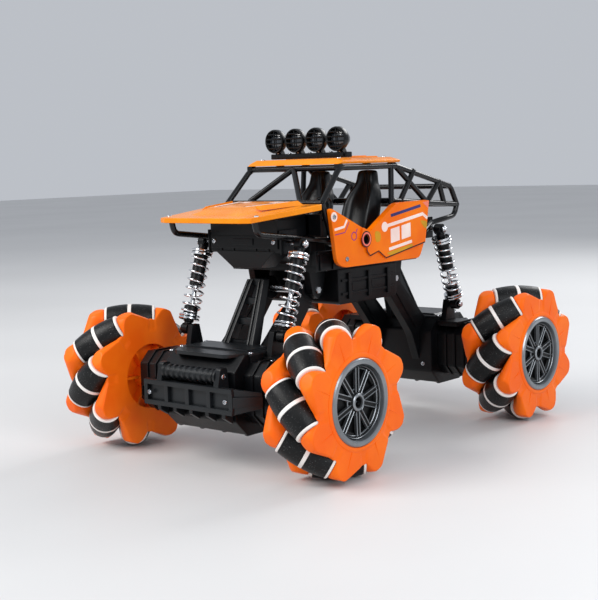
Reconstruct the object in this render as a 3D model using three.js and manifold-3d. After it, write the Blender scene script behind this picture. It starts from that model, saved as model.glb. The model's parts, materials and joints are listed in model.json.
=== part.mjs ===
// Remote-controlled stunt car: tubular buggy body on two swinging axles, with roller wheels that can drive sideways.
// Millimetres, +Z up. The car's front faces -Y, its left side is +X, and it stands on z = 0 under its own centre.
import * as THREE from 'three';
import { ConvexGeometry } from 'three/addons/geometries/ConvexGeometry.js';
import { mergeVertices } from 'three/addons/utils/BufferGeometryUtils.js';
import Module from 'manifold-3d';

const wasm = await Module();
wasm.setup();

// ---- Driving dimensions -------------------------------------------------------------------------------------------
const WHEEL_RADIUS = 44;
const WHEEL_WIDTH = 35;
const WHEELBASE = 194;
const TRACK = 164;
const GAP = 0.3; // air left between neighbouring pieces

const ROLLER_COUNT = 8;
const ROLLER_AXIS_RADIUS = 34; // wheel axis to roller axis
const ROLLER_HALF_LENGTH = 15.6;
const ROLLER_TAPER = 1; // how much slimmer a roller's end face is than its barrel
const ROLLER_SIDES = 8;
const ROLLER_CLEARANCE = 0.6;
const SPACE_CLEARANCE = 1.1; // wide enough for a faceted roller to turn inside a faceted space
const SKEW = Math.PI / 4; // angle of the rollers to the wheel axis

const HUB_CORE_RADIUS = 23;
const HUB_TIP_RADIUS = 43;
const LOBE_SIDES = 6;
const LOBE_RINGS = [ // the seat at a roller's end and the dome beyond it, along the roller from its middle
  { radius: 7.3, distance: ROLLER_HALF_LENGTH + ROLLER_CLEARANCE },
  { radius: 5, distance: ROLLER_HALF_LENGTH + 6.5 },
];
const LOBE_ROOTS = [ // half the arc a lobe covers on the core, at two depths in from the wheel's face
  { depth: 0, halfAngle: 0.24 },
  { depth: 9, halfAngle: 0.36 },
];
const WEB_RADIUS = 35.5; // disc at each face that fills the valleys between the lobes
const WEB_DEPTH = 4;
const RIM_RECESS_RADIUS = 21.8;
const RIM_RECESS_DEPTH = 6;
const INNER_DISH_RADIUS = 20;
const INNER_DISH_DEPTH = 8;
const STUB_RADIUS = 3.8;
const STUB_BORE_RADIUS = 4.3;
const STUB_BORE_DEPTH = 8;

const SWING_PIVOT = { y: 40, z: 96 }; // hinge line of each swinging axle, mirrored front to rear
const PIVOT_PIN_RADIUS = 2.5;
const PIVOT_BORE_RADIUS = 3;

const SHOCK_X = 39;
const SHOCK_TOP = { y: 71.5, z: 126.4 };
const SHOCK_BOTTOM = { y: 89.3, z: 74.5 };
const SHOCK_PIN_RADIUS = 1.4;
const SHOCK_EYE_RADIUS = 3.4;
const SHOCK_EYE_BORE = 1.8;
const LOWER_EYE_BORE = 2.3; // opened, because the real lower pivot closes a linkage
const SPRING_TURNS = 7.5;
const SPRING_MEAN_RADIUS = 5.3;
const SPRING_WIRE_RADIUS = 0.75;

const TUBE_RADIUS = 1.8;
const TUBE_SIDES = 6;
const CAGE_X = 37.3;

const PANEL_INNER_X = 40.6;
const PANEL_THICKNESS = 2.8;

const LAMP_COUNT = 4;
const LAMP_PITCH = 16.8;
const LAMP_RADIUS = 7.6;

// ---- Finishes -----------------------------------------------------------------------------------------------------
const finish = (color, roughness, metalness) => new THREE.MeshStandardMaterial({ color, roughness, metalness });
const orangePlastic = finish(0xf2641a, 0.45, 0);
const orangePaint = finish(0xf07d1c, 0.35, 0);
const blackRubber = finish(0x15161a, 0.75, 0);
const blackPlastic = finish(0x1b1c20, 0.5, 0);
const tubeBlack = finish(0x141418, 0.4, 0.1);
const chrome = finish(0xc9ccd1, 0.2, 1);
const seatBlack = finish(0x222327, 0.6, 0);

// ---- Solid helpers ------------------------------------------------------------------------------------------------
const point = (x, y, z) => new THREE.Vector3(x, y, z);

/** A closed three.js geometry as a manifold solid. */
function solid(geometry) {
  const bare = geometry.clone();
  bare.deleteAttribute('normal');
  bare.deleteAttribute('uv');
  const merged = mergeVertices(bare, 1e-4);
  const mesh = new wasm.Mesh({
    numProp: 3,
    vertProperties: new Float32Array(merged.attributes.position.array),
    triVerts: new Uint32Array(merged.index.array),
  });
  return new wasm.Manifold(mesh);
}

/** The surface of a manifold solid as a three.js geometry. */
function surface(body) {
  const mesh = body.getMesh();
  const geometry = new THREE.BufferGeometry();
  geometry.setAttribute('position', new THREE.BufferAttribute(mesh.vertProperties, 3));
  geometry.setIndex(new THREE.BufferAttribute(mesh.triVerts, 1));
  return geometry;
}

const union = (bodies) => bodies.reduce((whole, body) => whole.add(body));
const cut = (body, tools) => tools.reduce((rest, tool) => rest.subtract(tool), body);

/** A box between two corners. */
function block(x0, x1, y0, y1, z0, z1) {
  const geometry = new THREE.BoxGeometry(x1 - x0, y1 - y0, z1 - z0);
  geometry.translate((x0 + x1) / 2, (y0 + y1) / 2, (z0 + z1) / 2);
  return solid(geometry);
}

/** A round bar between two points. */
function bar(from, to, radius, sides = TUBE_SIDES) {
  const along = to.clone().sub(from);
  const geometry = new THREE.CylinderGeometry(radius, radius, along.length(), sides);
  const turn = new THREE.Quaternion().setFromUnitVectors(point(0, 1, 0), along.clone().normalize());
  geometry.applyQuaternion(turn);
  const middle = from.clone().add(to).multiplyScalar(0.5);
  geometry.translate(middle.x, middle.y, middle.z);
  return solid(geometry);
}

/** Round bars from each point of a list to the next. */
function tubeRun(points) {
  return union(points.slice(1).map((end, i) => bar(points[i], end, TUBE_RADIUS)));
}

/** An outline in the Y-Z plane, as [y, z] pairs, swept from x0 to x1. */
function plateAcross(outline, x0, x1) {
  const shape = new THREE.Shape(outline.map(([y, z]) => new THREE.Vector2(y, z)));
  const geometry = new THREE.ExtrudeGeometry(shape, { depth: x1 - x0, bevelEnabled: false });
  // the shape's own x, y and depth become the car's y, z and x
  geometry.applyMatrix4(new THREE.Matrix4().makeBasis(point(0, 1, 0), point(0, 0, 1), point(1, 0, 0)));
  geometry.translate(x0, 0, 0);
  return solid(geometry);
}

/** A convex solid around points given as [x, y, z]. */
const hull = (corners) => solid(new ConvexGeometry(corners.map(([x, y, z]) => point(x, y, z))));

// ---- Roller wheels ------------------------------------------------------------------------------------------------
/** Unit vectors of one roller: out from the wheel's axis, and along the roller towards the car's outside. */
function rollerFrame(side, hand, index) {
  const angle = (index / ROLLER_COUNT) * 2 * Math.PI;
  const outward = point(0, -Math.sin(angle), Math.cos(angle));
  const onward = point(0, -Math.cos(angle), -Math.sin(angle));
  const along = point(side * Math.cos(SKEW), 0, 0).addScaledVector(onward, hand * Math.sin(SKEW));
  return { outward, along, centre: outward.clone().multiplyScalar(ROLLER_AXIS_RADIUS) };
}

/** Radius of a roller at a distance from its middle, so that all rollers together touch the wheel's circle. */
function rollerRadius(distance) {
  const away = Math.hypot(ROLLER_AXIS_RADIUS, distance * Math.sin(SKEW));
  return WHEEL_RADIUS - away;
}

/** A barrel on the local Y axis. A facet's edge points along local +Z. */
function barrel(halfLength, extra, sides, steps) {
  const rings = steps.map((step) => {
    const distance = step * ROLLER_HALF_LENGTH;
    const taper = Math.abs(step) === 1 ? ROLLER_TAPER : 0;
    return new THREE.Vector2(rollerRadius(distance) + extra - taper, step * halfLength);
  });
  const profile = [new THREE.Vector2(0, -halfLength), ...rings, new THREE.Vector2(0, halfLength)];
  return new THREE.LatheGeometry(profile, sides);
}

/** The matrix that lays a barrel's local axes on one roller's place in its wheel. */
function rollerMatrix({ outward, along, centre }) {
  const across = along.clone().cross(outward);
  return new THREE.Matrix4().makeBasis(across, along, outward).setPosition(centre);
}

/** One lobe of a hub flange: a domed seat at a roller's end, carried in to the core. */
function hubLobe(side, hand, index, end) {
  const { outward, along, centre } = rollerFrame(side, hand, index);
  const across = along.clone().cross(outward);
  const face = end * side * (WHEEL_WIDTH / 2);
  const corners = [];
  for (const { radius, distance } of LOBE_RINGS) {
    for (let i = 0; i < LOBE_SIDES; i += 1) {
      const turn = (i / LOBE_SIDES) * 2 * Math.PI;
      const corner = centre.clone()
        .addScaledVector(outward, radius * Math.cos(turn))
        .addScaledVector(across, radius * Math.sin(turn))
        .addScaledVector(along, end * distance);
      corners.push(Math.abs(corner.x) < WHEEL_WIDTH / 2 ? corner : corner.setX(face));
    }
  }
  const tipAngle = Math.atan2((WHEEL_WIDTH / 2) * Math.tan(SKEW), ROLLER_AXIS_RADIUS);
  const lobeAngle = (index / ROLLER_COUNT) * 2 * Math.PI + hand * end * tipAngle;
  for (const { depth, halfAngle } of LOBE_ROOTS) {
    for (const angle of [lobeAngle - halfAngle, lobeAngle + halfAngle]) {
      const x = face - end * side * depth;
      corners.push(point(x, -Math.sin(angle) * HUB_CORE_RADIUS, Math.cos(angle) * HUB_CORE_RADIUS));
    }
  }
  return solid(new ConvexGeometry(corners));
}

/** A disc on the wheel's axis, from x0 to x1. */
const disc = (x0, x1, radius, sides) => bar(point(x0, 0, 0), point(x1, 0, 0), radius, sides);

/** The moulded hub of one wheel: a core and two flanges of lobes, hollowed for the rollers, rim cap and axle. */
function hubGeometry(side, hand) {
  const half = WHEEL_WIDTH / 2;
  const lobes = [];
  const rollerSpaces = [];
  for (let index = 0; index < ROLLER_COUNT; index += 1) {
    lobes.push(hubLobe(side, hand, index, 1), hubLobe(side, hand, index, -1));
    const space = barrel(ROLLER_HALF_LENGTH + GAP, SPACE_CLEARANCE, ROLLER_SIDES, [-1, -0.85, -0.4, 0.4, 0.85, 1]);
    space.applyMatrix4(rollerMatrix(rollerFrame(side, hand, index)));
    rollerSpaces.push(solid(space));
  }
  const webs = [1, -1].map((end) => disc(end * (half - WEB_DEPTH), end * half, WEB_RADIUS, 24));
  const whole = union([disc(-half, half, HUB_CORE_RADIUS, 24), ...webs, ...lobes]);
  const trimmed = whole.intersect(disc(-half, half, HUB_TIP_RADIUS, 24));
  const hollows = [
    disc(side * (half - RIM_RECESS_DEPTH), side * (half + 1), RIM_RECESS_RADIUS, 24),
    disc(-side * (half - INNER_DISH_DEPTH), -side * (half + 1), INNER_DISH_RADIUS, 16),
    disc(-side * (half - INNER_DISH_DEPTH - STUB_BORE_DEPTH), -side * half, STUB_BORE_RADIUS, 10),
  ];
  return surface(cut(trimmed, [...rollerSpaces, ...hollows]));
}

const WHEELS = [
  { name: 'fl', side: 1, end: -1, hand: 1 },
  { name: 'fr', side: -1, end: -1, hand: 1 },
  { name: 'rl', side: 1, end: 1, hand: -1 },
  { name: 'rr', side: -1, end: 1, hand: -1 },
];

/** One wheel: its hub and its eight rollers, in a group at the wheel's centre. */
function buildWheel({ name, side, end, hand }) {
  const wheel = new THREE.Group();
  wheel.position.set((side * TRACK) / 2, (end * WHEELBASE) / 2, WHEEL_RADIUS);
  wheel.add(named(`wheel_${name}_hub`, hubGeometry(side, hand), orangePlastic));
  for (let index = 0; index < ROLLER_COUNT; index += 1) {
    const shape = barrel(ROLLER_HALF_LENGTH, 0, ROLLER_SIDES, [-1, -0.85, -0.4, 0, 0.4, 0.85, 1]);
    const roller = named(`roller_${name}_${index + 1}`, shape, blackRubber);
    roller.applyMatrix4(rollerMatrix(rollerFrame(side, hand, index)));
    wheel.add(roller);
  }
  return wheel;
}

// ---- Shock absorbers ----------------------------------------------------------------------------------------------
const SHOCK_LENGTH = Math.hypot(SHOCK_BOTTOM.y - SHOCK_TOP.y, SHOCK_TOP.z - SHOCK_BOTTOM.z);
const CYLINDER = { top: 3, collarTop: 6, collarBottom: 9, end: 28, boreTop: 12, radius: 4.1, collarRadius: 6.3 };
const ROD = { top: 22, seatTop: 46.5, seatBottom: 49.5, end: 52, radius: 1.4, boreRadius: 1.8, seatRadius: 6.3 };

/** A turned piece on the shock's line, from [radius, distance below the upper eye] pairs. */
function turned(profile, sides) {
  const points = profile.map(([radius, distance]) => new THREE.Vector2(radius, -distance));
  return solid(new THREE.LatheGeometry(points.reverse(), sides));
}

/** An eye across the shock's line with its bore. */
function eye(distance, bore) {
  const ring = bar(point(-2.6, -distance, 0), point(2.6, -distance, 0), SHOCK_EYE_RADIUS, 10);
  return { ring, hole: bar(point(-4, -distance, 0), point(4, -distance, 0), bore, 8) };
}

function shockCylinder() {
  const body = turned([
    [0, CYLINDER.top - 1], [2.6, CYLINDER.top - 1], [2.6, CYLINDER.collarTop],
    [CYLINDER.collarRadius, CYLINDER.collarTop], [CYLINDER.collarRadius, CYLINDER.collarBottom],
    [CYLINDER.radius, CYLINDER.collarBottom], [CYLINDER.radius, CYLINDER.end],
    [ROD.boreRadius, CYLINDER.end], [ROD.boreRadius, CYLINDER.boreTop], [0, CYLINDER.boreTop],
  ], 10);
  const { ring, hole } = eye(0, SHOCK_EYE_BORE);
  return surface(body.add(ring).subtract(hole));
}

function shockRod() {
  const body = turned([
    [0, ROD.top], [ROD.radius, ROD.top], [ROD.radius, ROD.seatTop], [ROD.seatRadius, ROD.seatTop],
    [ROD.seatRadius, ROD.seatBottom], [2.4, ROD.seatBottom], [2.4, ROD.end], [0, ROD.end],
  ], 10);
  const { ring, hole } = eye(SHOCK_LENGTH, LOWER_EYE_BORE);
  return surface(body.add(ring).subtract(hole));
}

/** The centre line of the coil spring around the shock's line. */
class Coil extends THREE.Curve {
  getPoint(t) {
    const top = CYLINDER.collarBottom + GAP + SPRING_WIRE_RADIUS;
    const bottom = ROD.seatTop - GAP - SPRING_WIRE_RADIUS;
    const turn = t * SPRING_TURNS * 2 * Math.PI;
    const height = -(top + (bottom - top) * t);
    return point(SPRING_MEAN_RADIUS * Math.cos(turn), height, SPRING_MEAN_RADIUS * Math.sin(turn));
  }
}

function shockSpring() {
  const section = new THREE.Shape().absarc(0, 0, SPRING_WIRE_RADIUS, 0, 2 * Math.PI);
  const options = { steps: SPRING_TURNS * 8, curveSegments: 2, extrudePath: new Coil() };
  return new THREE.ExtrudeGeometry(section, options);
}

/** One shock: cylinder, rod and spring in a group at its upper pin, turned so that local -Y runs down the shock. */
function buildShock({ name, side, end }) {
  const shock = new THREE.Group();
  shock.position.set(side * SHOCK_X, end * SHOCK_TOP.y, SHOCK_TOP.z);
  const down = point(0, end * (SHOCK_BOTTOM.y - SHOCK_TOP.y), SHOCK_BOTTOM.z - SHOCK_TOP.z).normalize();
  shock.quaternion.setFromUnitVectors(point(0, -1, 0), down);
  shock.add(named(`shock_${name}_cylinder`, shockCylinder(), blackPlastic));
  shock.add(named(`shock_${name}_rod`, shockRod(), chrome));
  shock.add(named(`shock_${name}_spring`, shockSpring(), chrome));
  return shock;
}

// ---- Swinging axles -----------------------------------------------------------------------------------------------
const AXLE_Y = WHEELBASE / 2;
const HOUSING_HALF_LENGTH = 57; // to the inner side of the wheels, less the running gap
const STUB_END = TRACK / 2 - WHEEL_WIDTH / 2 + INNER_DISH_DEPTH + STUB_BORE_DEPTH - 0.8;

/** The gear housing's cross section along the axle, as [y, z] pairs with chamfered corners. */
function housingOutline(halfDepth, bottom, top, chamfer) {
  const front = AXLE_Y + halfDepth;
  const back = AXLE_Y - halfDepth;
  return [
    [back, bottom + chamfer], [back + chamfer, bottom], [front - chamfer, bottom], [front, bottom + chamfer],
    [front, top - chamfer], [front - chamfer, top], [back + chamfer, top], [back, top - chamfer],
  ];
}

/** One swing arm beside the car's middle, from the gear housing up to its eye on the hinge pin. */
function swingArm(x0, x1) {
  const outline = [
    [AXLE_Y - 4, 58], [AXLE_Y - 16, 66], [SWING_PIVOT.y + 5, SWING_PIVOT.z + 5], [SWING_PIVOT.y - 2, SWING_PIVOT.z + 6.5],
    [SWING_PIVOT.y - 6, SWING_PIVOT.z + 1], [SWING_PIVOT.y - 3, SWING_PIVOT.z - 6],
    [AXLE_Y - 31, 56], [AXLE_Y - 22, 34], [AXLE_Y - 8, 30],
  ];
  return plateAcross(outline, x0, x1);
}

/** The ladder-shaped upper link: two ribs that lean together, with rungs and a back web. */
function upperLink() {
  const foot = { y: 84, z: 62 };
  const head = { y: 65, z: 104 };
  const ribs = [1, -1].map((side) => hull([
    [side * 8.5, foot.y - 3, foot.z], [side * 12.5, foot.y - 3, foot.z],
    [side * 8.5, foot.y + 4, foot.z], [side * 12.5, foot.y + 4, foot.z],
    [side * 3, head.y - 2.5, head.z], [side * 6.2, head.y - 2.5, head.z],
    [side * 3, head.y + 2.5, head.z], [side * 6.2, head.y + 2.5, head.z],
  ]));
  const rungs = [0.42, 0.96].map((share) => {
    const y = foot.y + (head.y - foot.y) * share;
    const z = foot.z + (head.z - foot.z) * share;
    const reach = 9.5 - 5 * share;
    return block(-reach, reach, y - 2, y + 1.5, z - 2, z + 2);
  });
  return union([...ribs, ...rungs]);
}

/** The ears and pin that a shock's lower eye sits on. */
function lowerShockMount(side) {
  const pin = bar(point(side * (SHOCK_X - 6), SHOCK_BOTTOM.y, SHOCK_BOTTOM.z),
    point(side * (SHOCK_X + 3.5), SHOCK_BOTTOM.y, SHOCK_BOTTOM.z), 1.2, 8);
  const ear = plateAcross([
    [SHOCK_BOTTOM.y - 7, 60], [SHOCK_BOTTOM.y + 7, 60], [SHOCK_BOTTOM.y + 3, SHOCK_BOTTOM.z + 3],
    [SHOCK_BOTTOM.y - 3, SHOCK_BOTTOM.z + 3],
  ], Math.min(side * (SHOCK_X - 8), side * (SHOCK_X - 4)), Math.max(side * (SHOCK_X - 8), side * (SHOCK_X - 4)));
  return union([pin, ear]);
}

/** The gear housing with its stub shafts, swing arms, upper link and shock mounts, built for the rear. */
function axleBody() {
  const crossCase = plateAcross(housingOutline(16, 26, 62, 7), -HOUSING_HALF_LENGTH, HOUSING_HALF_LENGTH);
  const gearCase = plateAcross(housingOutline(23, 20, 66, 9), -29, 29);
  const topPlate = block(-30, 30, AXLE_Y - 15, AXLE_Y + 10, 60, 67.5);
  const stubs = bar(point(-STUB_END, AXLE_Y, WHEEL_RADIUS), point(STUB_END, AXLE_Y, WHEEL_RADIUS), STUB_RADIUS, 10);
  const ends = [1, -1].map((side) => bar(point(side * 50, AXLE_Y, WHEEL_RADIUS),
    point(side * (HOUSING_HALF_LENGTH + 9), AXLE_Y, WHEEL_RADIUS), 8, 12));
  const arms = [swingArm(13, 19), swingArm(-19, -13)];
  const mounts = [lowerShockMount(1), lowerShockMount(-1)];
  const whole = union([crossCase, gearCase, topPlate, stubs, ...ends, ...arms, ...mounts, upperLink()]);
  const bore = bar(point(-25, SWING_PIVOT.y, SWING_PIVOT.z), point(25, SWING_PIVOT.y, SWING_PIVOT.z),
    PIVOT_BORE_RADIUS, 12);
  return whole.subtract(bore);
}

/** The axle body for one end of the car: the front one is the rear one turned half round. */
function axleGeometry(end) {
  const geometry = surface(axleBody());
  if (end < 0) {
    geometry.rotateZ(Math.PI);
  }
  return geometry;
}

// ---- Front bumper -------------------------------------------------------------------------------------------------
const BUMPER = { halfWidth: 35.5, front: -130, back: -126.5, bottom: 35, top: 50, slots: 4 };

function bumperGeometry() {
  const { halfWidth, front, back, bottom, top, slots } = BUMPER;
  const plate = block(-halfWidth, halfWidth, front, back, bottom, top);
  const slotPitch = (2 * halfWidth - 3) / slots;
  const openings = [];
  for (let i = 0; i < slots; i += 1) {
    const left = -halfWidth + 3 + i * slotPitch;
    openings.push(block(left, left + slotPitch - 3, front - 1, back + 1, bottom + 3.5, top - 3.5));
  }
  const wings = [1, -1].map((side) => hull([
    [side * (halfWidth - 1), front, bottom], [side * (halfWidth - 1), front, top],
    [side * (halfWidth - 1), back, bottom], [side * (halfWidth - 1), back, top],
    [side * 46, -116, bottom + 3], [side * 46, -116, top - 3],
    [side * 43, -116, bottom + 3], [side * 43, -116, top - 3],
  ]));
  const brackets = [1, -1].map((side) => {
    const inner = side * 12;
    const outer = side * 17;
    return block(Math.min(inner, outer), Math.max(inner, outer), back - 1, -AXLE_Y - 23 - GAP, 39, 50);
  });
  const drum = bar(point(-22, -124.6, 55), point(22, -124.6, 55), 4, 12);
  const cheeks = [1, -1].map((side) => block(Math.min(side * 21, side * 25), Math.max(side * 21, side * 25),
    -129, -AXLE_Y - 23 - GAP, 47, 60));
  return surface(union([cut(plate, openings), ...wings, ...brackets, drum, ...cheeks]));
}

// ---- Chassis ------------------------------------------------------------------------------------------------------
const FLOOR = { bottom: 108, top: 112 };
const TOWER_HALF_WIDTH = 30.2;

/** One shock tower with its upper pins, built for the rear. */
function shockTower() {
  const tower = hull([
    [-TOWER_HALF_WIDTH, 64, 121], [TOWER_HALF_WIDTH, 64, 121], [-TOWER_HALF_WIDTH, 77, 121],
    [TOWER_HALF_WIDTH, 77, 121], [-TOWER_HALF_WIDTH, 64, 134], [TOWER_HALF_WIDTH, 64, 134],
    [-TOWER_HALF_WIDTH, 77, 134], [TOWER_HALF_WIDTH, 77, 134],
  ]);
  const neck = hull([
    [-24, 62, 122], [24, 62, 122], [-24, 78, 122], [24, 78, 122],
    [-11, 62, 111.5], [11, 62, 111.5], [-11, 76, 111.5], [11, 76, 111.5],
  ]);
  const pins = [1, -1].map((side) => bar(point(side * (TOWER_HALF_WIDTH - 2), SHOCK_TOP.y, SHOCK_TOP.z),
    point(side * (SHOCK_X + 3.6), SHOCK_TOP.y, SHOCK_TOP.z), SHOCK_PIN_RADIUS, 8));
  const spine = hull([
    [-18, 47, 110], [18, 47, 110], [-18, 47, 132], [18, 47, 132],
    [-20, 68, 121], [20, 68, 121], [-20, 68, 133], [20, 68, 133],
  ]);
  return union([tower, neck, spine, ...pins]);
}

/** The lugs and pin under the floor that one swinging axle hangs on, built for the rear. */
function swingMount() {
  const lugs = [1, -1].map((side) => {
    const outline = [
      [SWING_PIVOT.y - 8, FLOOR.bottom + 1], [SWING_PIVOT.y - 5, SWING_PIVOT.z - 5],
      [SWING_PIVOT.y + 5, SWING_PIVOT.z - 5], [SWING_PIVOT.y + 8, FLOOR.bottom + 1],
    ];
    return plateAcross(outline, Math.min(side * 20, side * 25), Math.max(side * 20, side * 25));
  });
  const pin = bar(point(-24, SWING_PIVOT.y, SWING_PIVOT.z), point(24, SWING_PIVOT.y, SWING_PIVOT.z),
    PIVOT_PIN_RADIUS, 10);
  return union([...lugs, pin]);
}

/** The same solid turned half round about the car's vertical centre line. */
const turnedRound = (body) => body.rotate([0, 0, 180]);

function chassisGeometry() {
  const floor = block(-34, 34, -52, 52, FLOOR.bottom, FLOOR.top);
  const walls = [1, -1].map((side) => block(Math.min(side * 30, side * 34), Math.max(side * 30, side * 34),
    -52, 52, FLOOR.top - 1, 120));
  const dash = block(-30, 30, -52, -46, FLOOR.top - 1, 142);
  const nose = block(-27, 27, -78, -50, 130, 141.6);
  const rear = union([shockTower(), swingMount()]);
  return surface(union([floor, ...walls, dash, nose, rear, turnedRound(rear)]));
}

/** The battery and electronics box slung under the floor between the swing mounts. */
function batteryGeometry() {
  const outline = [[-30, 88], [-28, 86], [28, 86], [30, 88], [30, FLOOR.bottom - GAP], [-30, FLOOR.bottom - GAP]];
  const box = plateAcross(outline, -33, 33);
  const ribs = [-20, 0, 20].map((y) => block(-34.5, 34.5, y - 1.5, y + 1.5, 89, FLOOR.bottom - 3));
  return surface(union([box, ...ribs]));
}

// ---- Body panels --------------------------------------------------------------------------------------------------
function hoodGeometry() {
  const skin = hull([
    [-36.4, -110, 140.2], [36.4, -110, 140.2], [-36.4, -110, 143.2], [36.4, -110, 143.2],
    [-30, -113, 140.2], [30, -113, 140.2], [-30, -113, 143.2], [30, -113, 143.2],
    [-41.5, -54, 145.2], [41.5, -54, 145.2], [-41.5, -54, 148.6], [41.5, -54, 148.6],
  ]);
  const crown = hull([
    [-24, -104, 142.5], [24, -104, 142.5], [-33, -54, 146.5], [33, -54, 146.5],
    [-14, -92, 148.4], [14, -92, 148.4], [-24, -54, 150.4], [24, -54, 150.4],
  ]);
  return surface(skin.add(crown));
}

/** A side panel: a slanted plate with a deep V-shaped doorway. */
function sidePanelGeometry(side) {
  const outline = [
    [-49, 146.5], [-43.5, 113], [-36.8, 109.8], [41.9, 109.8], [47.2, 119], [52.5, 146.8], [15.2, 146.3], [-12.1, 130.2],
  ];
  const inner = side * PANEL_INNER_X;
  const outer = side * (PANEL_INNER_X + PANEL_THICKNESS);
  const plate = plateAcross(outline, Math.min(inner, outer), Math.max(inner, outer));
  const hole = bar(point(side * 38, -15.9, 125.6), point(side * 46, -15.9, 125.6), 2.6, 12);
  return surface(plate.subtract(hole));
}

function roofGeometry() {
  return new ConvexGeometry([
    ...[[-37, -32], [37, -32], [-38, 29.5], [38, 29.5]].map(([x, y]) => point(x, y, 171.6)),
    ...[[-38, -29], [38, -29], [-39, 29.5], [39, 29.5]].map(([x, y]) => point(x, y, 173)),
    ...[[-33, -28], [33, -28], [-34, 25], [34, 25]].map(([x, y]) => point(x, y, 175.5)),
  ]);
}

// ---- Roll cage ----------------------------------------------------------------------------------------------------
/** Tube runs on the car's left side, as [x, y, z] points. */
const CAGE_SIDE_RUNS = [
  [[38.4, -50, 149], [36, -30, 169.4], [36, 27, 169.4]], // windscreen post and roof rail
  [[0, -30, 169.4], [20, -48.5, 150.4]], // half of the windscreen's centre brace
  [[36, 27, 169.4], [CAGE_X, 88, 154.5], [CAGE_X, 95.5, 142]], // sloping rear rail and tail
  [[CAGE_X, 22.5, 147.5], [CAGE_X, 95.5, 142]], // waist rail
  [[36, 22.5, 169.4], [CAGE_X, 20, 126]], // door post
  [[36, 27, 169.4], [CAGE_X, 60, 144.8]], // rear brace
  [[CAGE_X, 45, 165.5], [CAGE_X, 30, 147]], // rear counter brace
  [[CAGE_X, 74, 158], [CAGE_X, 60, 144.8]],
  [[CAGE_X, 74, 158], [CAGE_X, 80, 143.2]],
  [[CAGE_X, 95.5, 142], [CAGE_X, 92, 134.5], [CAGE_X, 80, 133], [33.4, 70, 130.8], [CAGE_X, 56, 126]], // rear hanging loop
  [[33.4, -104, 138], [33.4, -100, 133.5], [33.4, -48, 127], [CAGE_X, -40, 126], [CAGE_X, 56, 126]], // lower rail
  [[38.4, -50, 149], [CAGE_X, -40, 126]], // footwell post
];

/** Tubes that run straight across the car, as [half width, y, z]. */
const CAGE_CROSS_TUBES = [
  [36, -30, 169.4], [36, 27, 169.4], [CAGE_X, 88, 154.5], [CAGE_X, 95.5, 142], [CAGE_X, 22.5, 147.5],
  [38.4, -50, 149],
];

function cageGeometry() {
  const tubes = [];
  for (const side of [1, -1]) {
    for (const run of CAGE_SIDE_RUNS) {
      tubes.push(tubeRun(run.map(([x, y, z]) => point(side * x, y, z))));
    }
  }
  for (const [reach, y, z] of CAGE_CROSS_TUBES) {
    tubes.push(bar(point(-reach - 1, y, z), point(reach + 1, y, z), TUBE_RADIUS));
  }
  return surface(union(tubes));
}

// ---- Cockpit and lamps --------------------------------------------------------------------------------------------
const SEAT_X = 19.5;

function bucketSeat(side) {
  const x = side * SEAT_X;
  const back = hull([
    [x - 10, 11, 116], [x + 10, 11, 116], [x - 10, 3, 116], [x + 10, 3, 116],
    [x - 11, 16, 150], [x + 11, 16, 150], [x - 11, 8, 150], [x + 11, 8, 150],
    [x - 6.5, 19, 167], [x + 6.5, 19, 167], [x - 6.5, 12.5, 167], [x + 6.5, 12.5, 167],
  ]);
  const cushion = hull([
    [x - 10, -18, 116], [x + 10, -18, 116], [x - 10, 10, 116], [x + 10, 10, 116],
    [x - 10, -18, 125], [x + 10, -18, 125], [x - 10, 10, 123], [x + 10, 10, 123],
  ]);
  return back.add(cushion);
}

function steeringWheel() {
  const ring = new THREE.TorusGeometry(8.5, 1.3, 5, 12);
  ring.rotateX(THREE.MathUtils.degToRad(55));
  ring.translate(SEAT_X, -30, 144);
  const column = bar(point(SEAT_X, -43, 132), point(SEAT_X, -30, 144), 1.8, 6);
  const spokes = bar(point(SEAT_X - 8.5, -30, 144), point(SEAT_X + 8.5, -30, 144), 1.2, 6);
  return union([solid(ring), column, spokes]);
}

/** Seats, tunnel, dashboard shelf and steering wheel: one moulding that stands on the chassis floor. */
function cockpitGeometry() {
  const base = block(-29.5, 29.5, -45.5, 40, FLOOR.top + GAP, 117);
  const shelf = hull([
    [-29.5, -45.5, 117], [29.5, -45.5, 117], [-29.5, -45.5, 140], [29.5, -45.5, 140],
    [-29.5, -40, 138], [29.5, -40, 138], [-29.5, -36, 117], [29.5, -36, 117],
  ]);
  return surface(union([base, shelf, bucketSeat(1), bucketSeat(-1), steeringWheel()]));
}

function lightBarGeometry() {
  const pieces = [block(-31, 31, -16, -10.5, 175.5 + GAP, 179)];
  for (let i = 0; i < LAMP_COUNT; i += 1) {
    const x = (i - (LAMP_COUNT - 1) / 2) * LAMP_PITCH;
    pieces.push(bar(point(x, -19.5, 187), point(x, -12, 187), LAMP_RADIUS, 16));
    pieces.push(bar(point(x, -12.5, 187), point(x, -8.5, 187), 4.5, 10));
    pieces.push(block(x - 1.6, x + 1.6, -15, -11.5, 178.5, 181));
  }
  return surface(union(pieces));
}

// ---- The assembled car --------------------------------------------------------------------------------------------
function named(name, geometry, material) {
  const mesh = new THREE.Mesh(geometry, material);
  mesh.name = name;
  return mesh;
}

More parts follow.
